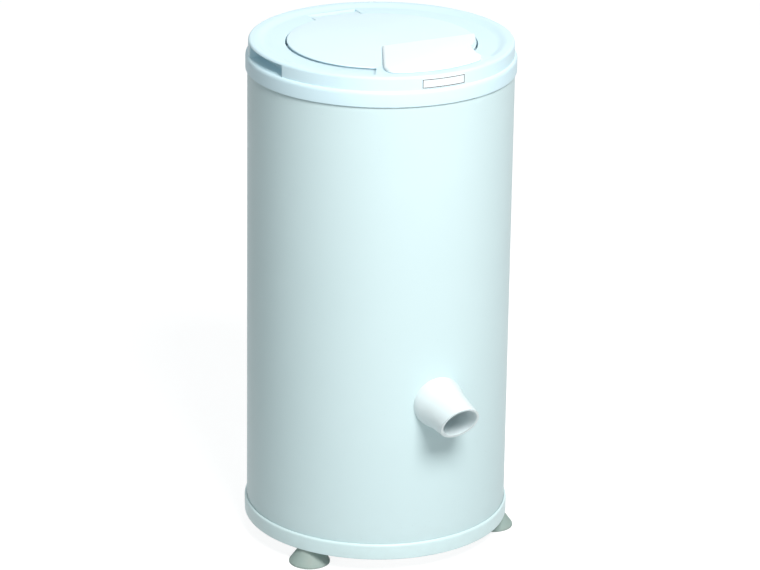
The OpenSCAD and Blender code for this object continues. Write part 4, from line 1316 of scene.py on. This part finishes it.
@dataclass
class BlankPlate:
    """The bare plate on the collar's front, with a dark line sunk round its edge."""

    radius: float = 169.05
    thickness: float = 0.75
    low: float = 651.4
    high: float = 664.0
    half_angle: float = 10.0
    margin: float = 0.4
    line: float = 0.95
    sink: float = 0.1

    def build(self, handover: Handover) -> None:
        """Turn the plate, sink the line and leave the middle blank.

        Args:
            handover: where the finished piece goes.
        """
        near, out, low, high = self.radius, self.radius + self.thickness, self.low, self.high
        section = [(near, low), (out, low, 0.3), (out, high, 0.3), (near, high)]
        ends = (-self.half_angle, self.half_angle)
        piece = turned("name_plate", softened(section, 2), 32, ends)
        with opened(piece, "FACE") as mesh:
            for face in mesh.faces:
                middle = face.calc_center_median()
                front = math.hypot(middle.x, middle.y) > (out - 0.1) * MM
                inside = abs(azimuth_of(middle)) < self.half_angle - 0.05
                if front and inside and abs(face.normal.z) < 0.05:
                    face.select_set(True)
            bmesh.update_edit_mesh(piece.data)
            bpy.ops.mesh.inset(thickness=self.margin * MM, depth=0.0)
            bpy.ops.mesh.inset(thickness=self.line * MM, depth=-self.sink * MM)
            mesh = bmesh.from_edit_mesh(piece.data)
            inner = {face.index for face in mesh.faces if face.select}
            bpy.ops.mesh.select_more()
            mesh = bmesh.from_edit_mesh(piece.data)
            for face in mesh.faces:
                if face.select and face.index not in inner:
                    face.material_index = 1
            bmesh.update_edit_mesh(piece.data)
        handover.give(piece, "frame", Slot.PLATE, "name_plate", 30, [Slot.BLACK])


@dataclass
class Lid:
    """The domed lid's shell, with its skirt, ribs, hinge barrel and slots."""

    radius: float = 120.2
    edge: float = 665.5
    rise: float = 3.5
    skin: float = 2.4
    edge_round: float = 1.5
    skirt: float = 656.0
    hinge_back: float = 134.0
    hinge_height: float = 655.2
    handle_pin: tuple[float, float] = (45.0, 662.4)
    latch_pin: tuple[float, float] = (96.0, 657.0)
    screws: tuple[float, ...] = (15, 75, 135, 195, 255, 315)

    def dome(self, r: float) -> float:
        """Height of the dome at a distance from its middle."""
        return self.edge + self.rise * (1 - (r / self.radius) ** 2)

    def shell(self) -> Piece:
        """Turn the dome with its rounded edge and its skirt, stepped in below the edge.

        Returns:
            The lid's plain body.
        """
        r, inner, wall = self.radius, self.radius - 4.4, self.radius - 2.2
        flat, ring = r - self.edge_round, self.edge_round
        rings = [i / 14 for i in range(15)]
        section: list[Corner] = [(flat * t, self.dome(flat * t)) for t in rings]
        centre = self.dome(flat) - ring
        turns = [math.radians(a) for a in (72, 54, 36, 18, 0)]
        section += [(flat + ring * math.cos(a), centre + ring * math.sin(a)) for a in turns]
        section += [(r, self.edge - 1.7, 0.2), (wall, self.edge - 2.0, 0.2)]
        section += [(wall, self.skirt, 0.5), (inner, self.skirt, 0.5)]
        under = [(inner * t, self.dome(inner * t) - self.skin) for t in reversed(rings)]
        return turned("lid_shell", softened(section + under), 240)

    def rib(self, x: float, width: float, pin: Corner, foot: float, high: float) -> Piece:
        """A rib across a pin.

        Args:
            x: its middle in X.
            width: its width.
            pin: the pin's distance forward and its height.
            foot: how far the rib reaches below the pin.
            high: height of its upper end.

        Returns:
            The rib.
        """
        f, z = pin
        outline = [(f - 5, z - foot), (f + 5, z - foot), (f + 5, high), (f - 5, high)]
        return plate("rib", x, width, outline)

    def additions(self) -> list[Piece]:
        """The hinge's tab and barrel, the ribs for the pins and the bosses for the screws.

        Returns:
            The pieces that are fused onto the body.
        """
        f, g = self.handle_pin[0], self.latch_pin[0]
        parts = [block("tab", (-33, 113.2, 660.8), (33, 134, 663.2))]
        parts.append(across("barrel", 8, -33, 33, -self.hinge_back, self.hinge_height))
        for x in (10.8, 81.2):
            high = self.dome(math.hypot(x, f + 5)) - 1.2
            parts.append(self.rib(x, 5.6, self.handle_pin, 3, high))
        parts += [self.rib(x, 4.4, self.latch_pin, 4.5, self.dome(g) - 2) for x in (-9.8, 9.8)]
        low, high = self.skirt + 0.05, self.dome(self.radius - 6) - 1.5
        reach = self.radius - 10
        return parts + [upright("boss", 3.4, low, high, azimuth, reach) for azimuth in self.screws]

    def cutters(self) -> list[Piece]:
        """The pins' bores, the slots under the handle and the screws' pilot holes.

        Returns:
            The pieces that are cut away from it.
        """
        f, z = self.handle_pin
        g, y = self.latch_pin
        parts = [across("hinge_bore", 2.55, -38, 38, -self.hinge_back, self.hinge_height)]
        parts.append(across("handle_bore", 2.02, 0, 95, f, z))
        parts.append(across("latch_bore", 2.02, -20, 20, g, y))
        for x in (18, 74):
            parts.append(block("slot", (x - 4.6, -f - 7.5, z + 0.5), (x + 4.6, -f + 2.7, 673)))
        parts.append(block("slot", (-6, -92, y + 4), (6, -66.5, 673)))
        reach = self.radius - 10
        return parts + [upright("pilot", 1.3, 655, 663, azimuth, reach) for azimuth in self.screws]

    def build(self, handover: Handover) -> None:
        """Make the lid's shell in one piece.

        Args:
            handover: where the finished piece goes.
        """
        piece = self.shell()
        work(piece, self.additions(), Joining.FUSE)
        work(piece, self.cutters(), Joining.CUT)
        handover.give(piece, "lid", Slot.LID, "lid_shell", 30)


@dataclass
class Handle:
    """The lid's handle: a hollow cap with rounded edges, two ears and a tongue."""

    lid: Lid
    lip: float = 154.5
    left: float = -26.0
    right: float = 43.0
    back: float = 42.0
    top: float = 672.2
    rim: float = 668.0
    wall: float = 2.5
    nose: float = 74.0
    round: float = 2.6

    def plan(self, r: float, azimuth: float, shift: float = 0.0) -> Corner:
        """A place in plan by its radius and azimuth, moved sideways by a shift."""
        x, y, _ = at(azimuth, r)
        return (x + shift, -y)

    def outline(self, m: float) -> list[Corner]:
        """The handle's outline in plan.

        Args:
            m: how far it is drawn in, in millimetres.

        Returns:
            The outline's corners, as X and distance forward.
        """
        lip, edge, back = self.lip - m, self.lid.radius - 1.5 - m, self.back + m
        out = [(-back * math.tan(math.radians(-self.left)) + m, back)]
        out += curve(self.plan(self.lip - 26.5, self.left, m), self.plan(lip, self.left, m),
                     self.plan(lip, -19), 10)
        out += [self.plan(lip, a) for a in range(-16, 22, 3)]
        corner = self.plan(self.lip - 16, 32, -m)
        out += curve(self.plan(lip, 24), self.plan(lip, 29.5), corner, 10)
        out += [self.plan(edge, a) for a in range(int(self.right), 68, 3)]
        out.append((math.sqrt(edge**2 - back**2), back))
        return out

    def below(self) -> Piece:
        """The space under the handle: over the lid's dome, and over the collar's bridge.

        Returns:
            The space, as a solid.
        """
        radii = [self.lid.radius * i / 14 for i in range(15)]
        section = [(0.0, 608)]
        section += [(r, self.lid.dome(r) + 0.5) for r in radii]
        section += [(self.lid.radius + 0.1, self.rim + 0.5), (190, self.rim + 0.5), (190, 608)]
        return turned("below", section, 180)

    def inner(self) -> list[Piece]:
        """The ears on the handle's pin, and the tongue with its toe.

        Returns:
            The pieces.
        """
        f, z = self.lid.handle_pin
        y = self.lid.latch_pin[1]
        skin = self.top - self.wall + 0.2
        parts = []
        for x in (18, 74):
            ear = plate("ear", x, 8, [(f - 1.4, z), (f + 3.4, z), (f + 7, skin), (f - 0.2, skin)])
            boss = across("ear_boss", 3.4, x - 4, x + 4, f, z)
            work(ear, [boss], Joining.FUSE)
            parts.append(ear)
        n = self.nose
        toe = [(n - 6, y - 4.4), (n + 0.6, y - 4.4), (n + 0.6, y - 2), (n - 3, y - 2)]
        parts.append(plate("tongue", 0, 7, [*toe, (n - 3, skin), (n - 6, skin)]))
        return parts

    def build(self, handover: Handover) -> None:
        """Cut the cap from a slab, round it, hollow it and add what is inside it.

        Args:
            handover: where the finished piece goes.
        """
        piece = slab("lid_handle", self.outline(0), self.rim - 6, self.top)
        with opened(piece) as mesh:
            for edge in mesh.edges:
                edge.select_set(all(abs(v.co.z - self.top * MM) < 1e-5 for v in edge.verts))
            bmesh.update_edit_mesh(piece.data)
            bpy.ops.mesh.bevel(offset=self.round * MM, segments=6, clamp_overlap=True)
        work(piece, [self.below()], Joining.CUT)
        hollow = slab("hollow", self.outline(self.wall), self.rim - 7, self.top - self.wall)
        work(piece, [hollow], Joining.CUT)
        low, high = (-100, -self.back - 9, 648), (200, -self.back + 5, self.top - 2)
        work(piece, [block("raised", low, high)], Joining.CUT)
        work(piece, self.inner(), Joining.FUSE)
        work(piece, [across("pin_bore", 2.05, 0, 95, *self.lid.handle_pin)], Joining.CUT)
        handover.give(piece, "handle", Slot.HANDLE, "lid_handle", 30)


@dataclass
class Coil:
    """A round wire wound into a spring, with its ends cut square."""

    radius: float
    wire: float
    turns: int
    length: float
    sides: int = 12
    steps: int = 32

    def wind(self, name: str) -> Piece:
        """Wind the spring upwards from the origin, its wire's middle from 0 to its length.

        Args:
            name: name of the new piece.

        Returns:
            The spring.
        """
        bpy.ops.object.select_all(action="DESELECT")
        bpy.ops.mesh.primitive_circle_add(
            vertices=self.sides,
            radius=self.wire * MM,
            location=(self.radius * MM, 0, 0),
            rotation=(math.radians(90), 0, 0),
        )
        piece = bpy.context.object
        piece.name = name
        settle(piece)
        rise = self.length * MM / self.turns
        steps = {"steps": self.steps, "render_steps": self.steps, "iterations": self.turns}
        shape(piece, "SCREW", angle=2 * math.pi, screw_offset=rise, use_smooth_shade=True, **steps)
        with opened(piece):
            fill_ends()
            outwards()
        return piece


@dataclass
class Springs:
    """The motor's three suspension springs, and the small springs of brake, lock and handle."""

    arm: float = 125.0
    low: float = 67.7
    high: float = 143.3
    azimuths: tuple[float, ...] = (-60.0, 60.0, 180.0)

    def suspension(self, handover: Handover) -> None:
        """Wind one suspension spring and copy it onto the other two seats.

        Args:
            handover: where the finished piece goes.
        """
        first = Coil(15.0, 1.7, 7, self.high - self.low, 14, 36).wind("spring")
        copies = []
        for azimuth in self.azimuths:
            each = copy_of(first)
            each.rotation_euler.z = math.radians(azimuth - 90)
            each.location = Vector(at(azimuth, self.arm, self.low)) * MM
            settle(each)
            copies.append(each)
        bpy.data.objects.remove(first, do_unlink=True)
        handover.give(gather(copies), "frame", Slot.SPRING, "suspension_springs", 50)

    def small(self, handover: Handover, node: str, body: str, wire: float, axis: int) -> None:
        """Wind a small spring into the space that its node holds.

        Args:
            handover: where the finished piece goes.
            node: the node that it stands for.
            body: the body that it rides on.
            wire: the wire's radius in millimetres.
            axis: the node's long axis, 0 for X, 1 for Y and 2 for Z.
        """
        low, high = (Vector(corner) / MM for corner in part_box(node))
        size = high - low
        radius = min(size[i] for i in range(3) if i != axis) / 2 - wire
        length = size[axis] - 2 * wire
        coil = Coil(radius, wire, max(4, round(length / (wire * 2.9))), length, 8, 20)
        piece = coil.wind(node)
        piece.rotation_euler = ((0, math.pi / 2, 0), (-math.pi / 2, 0, 0), (0, 0, 0))[axis]
        start = (low + high) / 2
        start[axis] = low[axis] + wire
        piece.location = start * MM
        handover.give(piece, body, Slot.SPRING, node, 50)

    def build(self, handover: Handover) -> None:
        """Wind every spring.

        Args:
            handover: where the finished piece goes.
        """
        self.suspension(handover)
        self.small(handover, "brake_spring", "frame", 0.8, 2)
        self.small(handover, "slider_spring", "frame", 0.32, 1)
        self.small(handover, "handle_spring", "lid", 0.3, 0)


@dataclass
class BrakeCable:
    """The brake cable's sheath, from the lock down the casing's wall to the brake."""

    radius: float = 2.5
    wall: float = 157.0
    lock: tuple[float, float, float] = (-2.8, 148.1, 628.9)
    bracket: tuple[float, float, float] = (48.0, 26.8, 42.0)
    down: tuple[Corner, ...] = (
        (8, 620), (25, 606), (50, 580), (72, 538), (84, 478), (86, 408), (86, 200), (86, 110),
    )

    def along_wall(self, azimuth: float, z: float, inwards: float = 0.0) -> Corner:
        """A place beside the casing's wall, as X, distance forward and height."""
        a = math.radians(azimuth)
        return ((self.wall - inwards) * math.sin(a), (self.wall - inwards) * math.cos(a), z)

    def route(self) -> list[Corner]:
        """The places that the cable passes through.

        Returns:
            The places, as X, distance forward and height.
        """
        x, f, z = self.lock
        out = [self.lock, (x, f + 3.8, z), (2, self.wall - 2, z - 2)]
        out += [self.along_wall(azimuth, height) for azimuth, height in self.down]
        out += [self.along_wall(85, 70, 4), self.along_wall(84, 52, 16)]
        out += [(118, 14, 45), (90, 8, 42), (66, 8, 42), (53, 14, 42)]
        return [*out, (self.bracket[0], 21, 42), self.bracket]

    def build(self, handover: Handover) -> None:
        """Lay the sheath on one smooth line through its route.

        Args:
            handover: where the finished piece goes.
        """
        places = [Vector((x * MM, -f * MM, z * MM)) for x, f, z in self.route()]
        bpy.ops.object.select_all(action="DESELECT")
        bpy.ops.curve.primitive_nurbs_path_add()
        line = bpy.context.object
        line.data.splines.clear()
        spline = line.data.splines.new("POLY")
        fine = self.eased(places, 8)
        spline.points.add(len(fine) - 1)
        for point, place in zip(spline.points, fine):
            point.co = (*place, 1.0)
        line.data.dimensions = "3D"
        line.data.bevel_depth = self.radius * MM
        line.data.bevel_resolution = 4
        line.data.use_fill_caps = True
        bpy.ops.object.convert(target="MESH")
        handover.give(bpy.context.object, "frame", Slot.SHEATH, "brake_cable", 50)

    def eased(self, places: list[Vector], parts: int) -> list[Vector]:
        """More places on a smooth line through the given ones.

        Args:
            places: places that the line passes through.
            parts: parts between two of them.

        Returns:
            The line's places.
        """
        out = [places[0]]
        for i in range(len(places) - 1):
            b, c = places[i], places[i + 1]
            a = places[i - 1] if i else b * 2 - c
            d = places[i + 2] if i + 2 < len(places) else c * 2 - b
            reach = (c - b).length
            lead = (c - a).normalized() * reach / 3
            trail = (d - b).normalized() * reach / 3
            for k in range(1, parts + 1):
                t = k / parts
                near, far = b + lead, c - trail
                out.append(b * (1 - t) ** 3 + near * 3 * t * (1 - t) ** 2
                           + far * 3 * t * t * (1 - t) + c * t**3)
        return out


# ------------------------------------------------------------------ studio and camera


@dataclass
class Studio:
    """A pale floor, a pale surround that is brighter at the front, and one broad soft lamp."""

    watts: float = 88.0
    azimuth: float = -6.0
    height: float = 44.0
    distance: float = 3.0
    lamp_size: float = 1.2
    target: float = 0.4
    front: tuple[float, float] = (0.4617, 0.8870)
    surround: tuple[float, float, float] = (0.18, 0.55, 0.37)
    behind: float = 3.6
    floor_white: float = 0.85
    floor_light: float = 0.5
    floor_seen: float = 0.32
    tint: Colour = (0.92, 1.0, 1.015)
    lamp_tone: Colour = (1.0, 0.985, 0.975)

    def seen_mask(self, desk: Desk) -> Socket:
        """1 for what the camera, a reflection or a clear piece shows, and 0 for light.

        Args:
            desk: the desk of a material or of the world.

        Returns:
            The mask.
        """
        path = desk.add("ShaderNodeLightPath")
        seen = desk.sum("MAXIMUM", path.outputs["Is Camera Ray"], path.outputs["Is Glossy Ray"])
        return desk.sum("MAXIMUM", seen, path.outputs["Is Transmission Ray"])

    def make_world(self) -> None:
        """Light from all round, most from the front, above and behind, and white where seen."""
        world = bpy.data.worlds.new("surround")
        bpy.context.scene.world = world
        world.use_nodes = True
        desk = Desk(world.node_tree)
        towards = desk.add("ShaderNodeTexCoord").outputs["Generated"]
        along = desk.add("ShaderNodeVectorMath", operation="DOT_PRODUCT")
        desk.feed(along.inputs[0], towards)
        desk.feed(along.inputs[1], (-self.front[0], -self.front[1], 0))
        facing = along.outputs["Value"]
        back, front, above = self.surround
        level = desk.span(facing, (-0.3, 0.9), (back, front))
        over = desk.span(desk.parts(towards)["Z"], (0.2, 0.9), (0.0, above))
        behind = desk.span(facing, (-0.97, -0.8), (self.behind, 0.0))
        lit = desk.sum("MAXIMUM", desk.sum("MAXIMUM", level, over), behind)
        seen = self.seen_mask(desk)
        unseen = desk.sum("SUBTRACT", 1.0, seen)
        strength = desk.sum("ADD", desk.sum("MULTIPLY", lit, unseen), seen)
        colour = desk.blend(seen, self.tint, (1, 1, 1))
        desk.set(world.node_tree.nodes["Background"], Color=colour, Strength=strength)

    def make_floor(self) -> None:
        """A plain pale floor that keeps the shadow and shows as white elsewhere."""
        bpy.ops.object.select_all(action="DESELECT")
        bpy.ops.mesh.primitive_grid_add(
            x_subdivisions=8, y_subdivisions=8, size=60, location=(0, 0, 0)
        )
        floor = bpy.context.object
        floor.name = "floor"
        material = bpy.data.materials.new("pale_floor")
        material.use_nodes = True
        desk = Desk(material.node_tree)
        desk.tree.nodes.remove(desk.tree.nodes["Principled BSDF"])
        plain, faint = (
            desk.set(desk.add("ShaderNodeBsdfDiffuse"), Color=(grey, grey, grey, 1))
            for grey in (self.floor_light, self.floor_seen)
        )
        glow = desk.set(desk.add("ShaderNodeEmission"), Strength=self.floor_white)
        both = desk.add("ShaderNodeAddShader")
        desk.feed(both.inputs[0], faint.outputs[0])
        desk.feed(both.inputs[1], glow.outputs[0])
        mix = desk.add("ShaderNodeMixShader")
        ways = (self.seen_mask(desk), plain.outputs[0], both.outputs[0])
        for socket, value in zip(mix.inputs, ways):
            desk.feed(socket, value)
        desk.feed(desk.tree.nodes["Material Output"].inputs["Surface"], mix.outputs[0])
        floor.data.materials.append(material)

    def make_lamp(self) -> None:
        """One broad round lamp from the front, a little right of the camera."""
        h = math.radians(self.height)
        towards = Vector(at(self.azimuth, math.cos(h), math.sin(h)))
        place = towards * self.distance + Vector((0, 0, self.target))
        bpy.ops.object.light_add(type="AREA", location=place)
        lamp = bpy.context.object
        lamp.name = "broad_lamp"
        lamp.data.shape = "DISK"
        lamp.data.size = self.lamp_size
        lamp.data.energy = self.watts
        lamp.data.color = self.lamp_tone
        lamp.rotation_euler = towards.to_track_quat("Z", "Y").to_euler()

    def build(self) -> None:
        """Set up the light and the floor."""
        self.make_world()
        self.make_floor()
        self.make_lamp()
        bpy.context.scene.view_settings.view_transform = "Standard"


@dataclass
class Camera:
    """The camera at the photograph's viewing angle."""

    place: tuple[float, float, float] = (-2.0394, -3.9245, 1.9848)
    heading: tuple[float, float] = (0.46160, 0.88709)
    pitch: float = 20.468
    roll: float = 0.01426
    focal: float = 172.32

    def build(self) -> None:
        """Add the camera and look through it."""
        p = math.radians(self.pitch)
        x, y = self.heading
        look = Vector((x * math.cos(p), y * math.cos(p), -math.sin(p)))
        turn = look.to_track_quat("-Z", "Y").to_matrix().to_4x4()
        turn = turn @ Matrix.Rotation(self.roll, 4, "Z")
        bpy.ops.object.camera_add(location=self.place, rotation=turn.to_euler())
        camera = bpy.context.object
        camera.name = "camera"
        camera.data.lens = self.focal
        camera.data.sensor_width = 36
        camera.data.sensor_fit = "HORIZONTAL"
        camera.data.clip_end = 200
        bpy.context.scene.camera = camera


def main() -> None:
    """Build the machine's looks, its studio and its camera."""
    logging.basicConfig(level=logging.INFO, format="%(name)s: %(message)s")
    Camera().build()
    finishes = FinishBook().make_all()
    dress_nodes(finishes)
    handover = Handover(finishes)
    spout = Spout()
    spout.build(handover)
    Casing().build(handover, spout)
    base = Base()
    base.ring(handover)
    base.feet(handover)
    Collar().build(handover)
    BlankPlate().build(handover)
    lid = Lid()
    lid.build(handover)
    Handle(lid).build(handover)
    Springs().build(handover)
    BrakeCable().build(handover)
    Studio().build()
    LOG.info("replaced %s", ", ".join(handover.done))


if __name__ == "__main__":
    main()
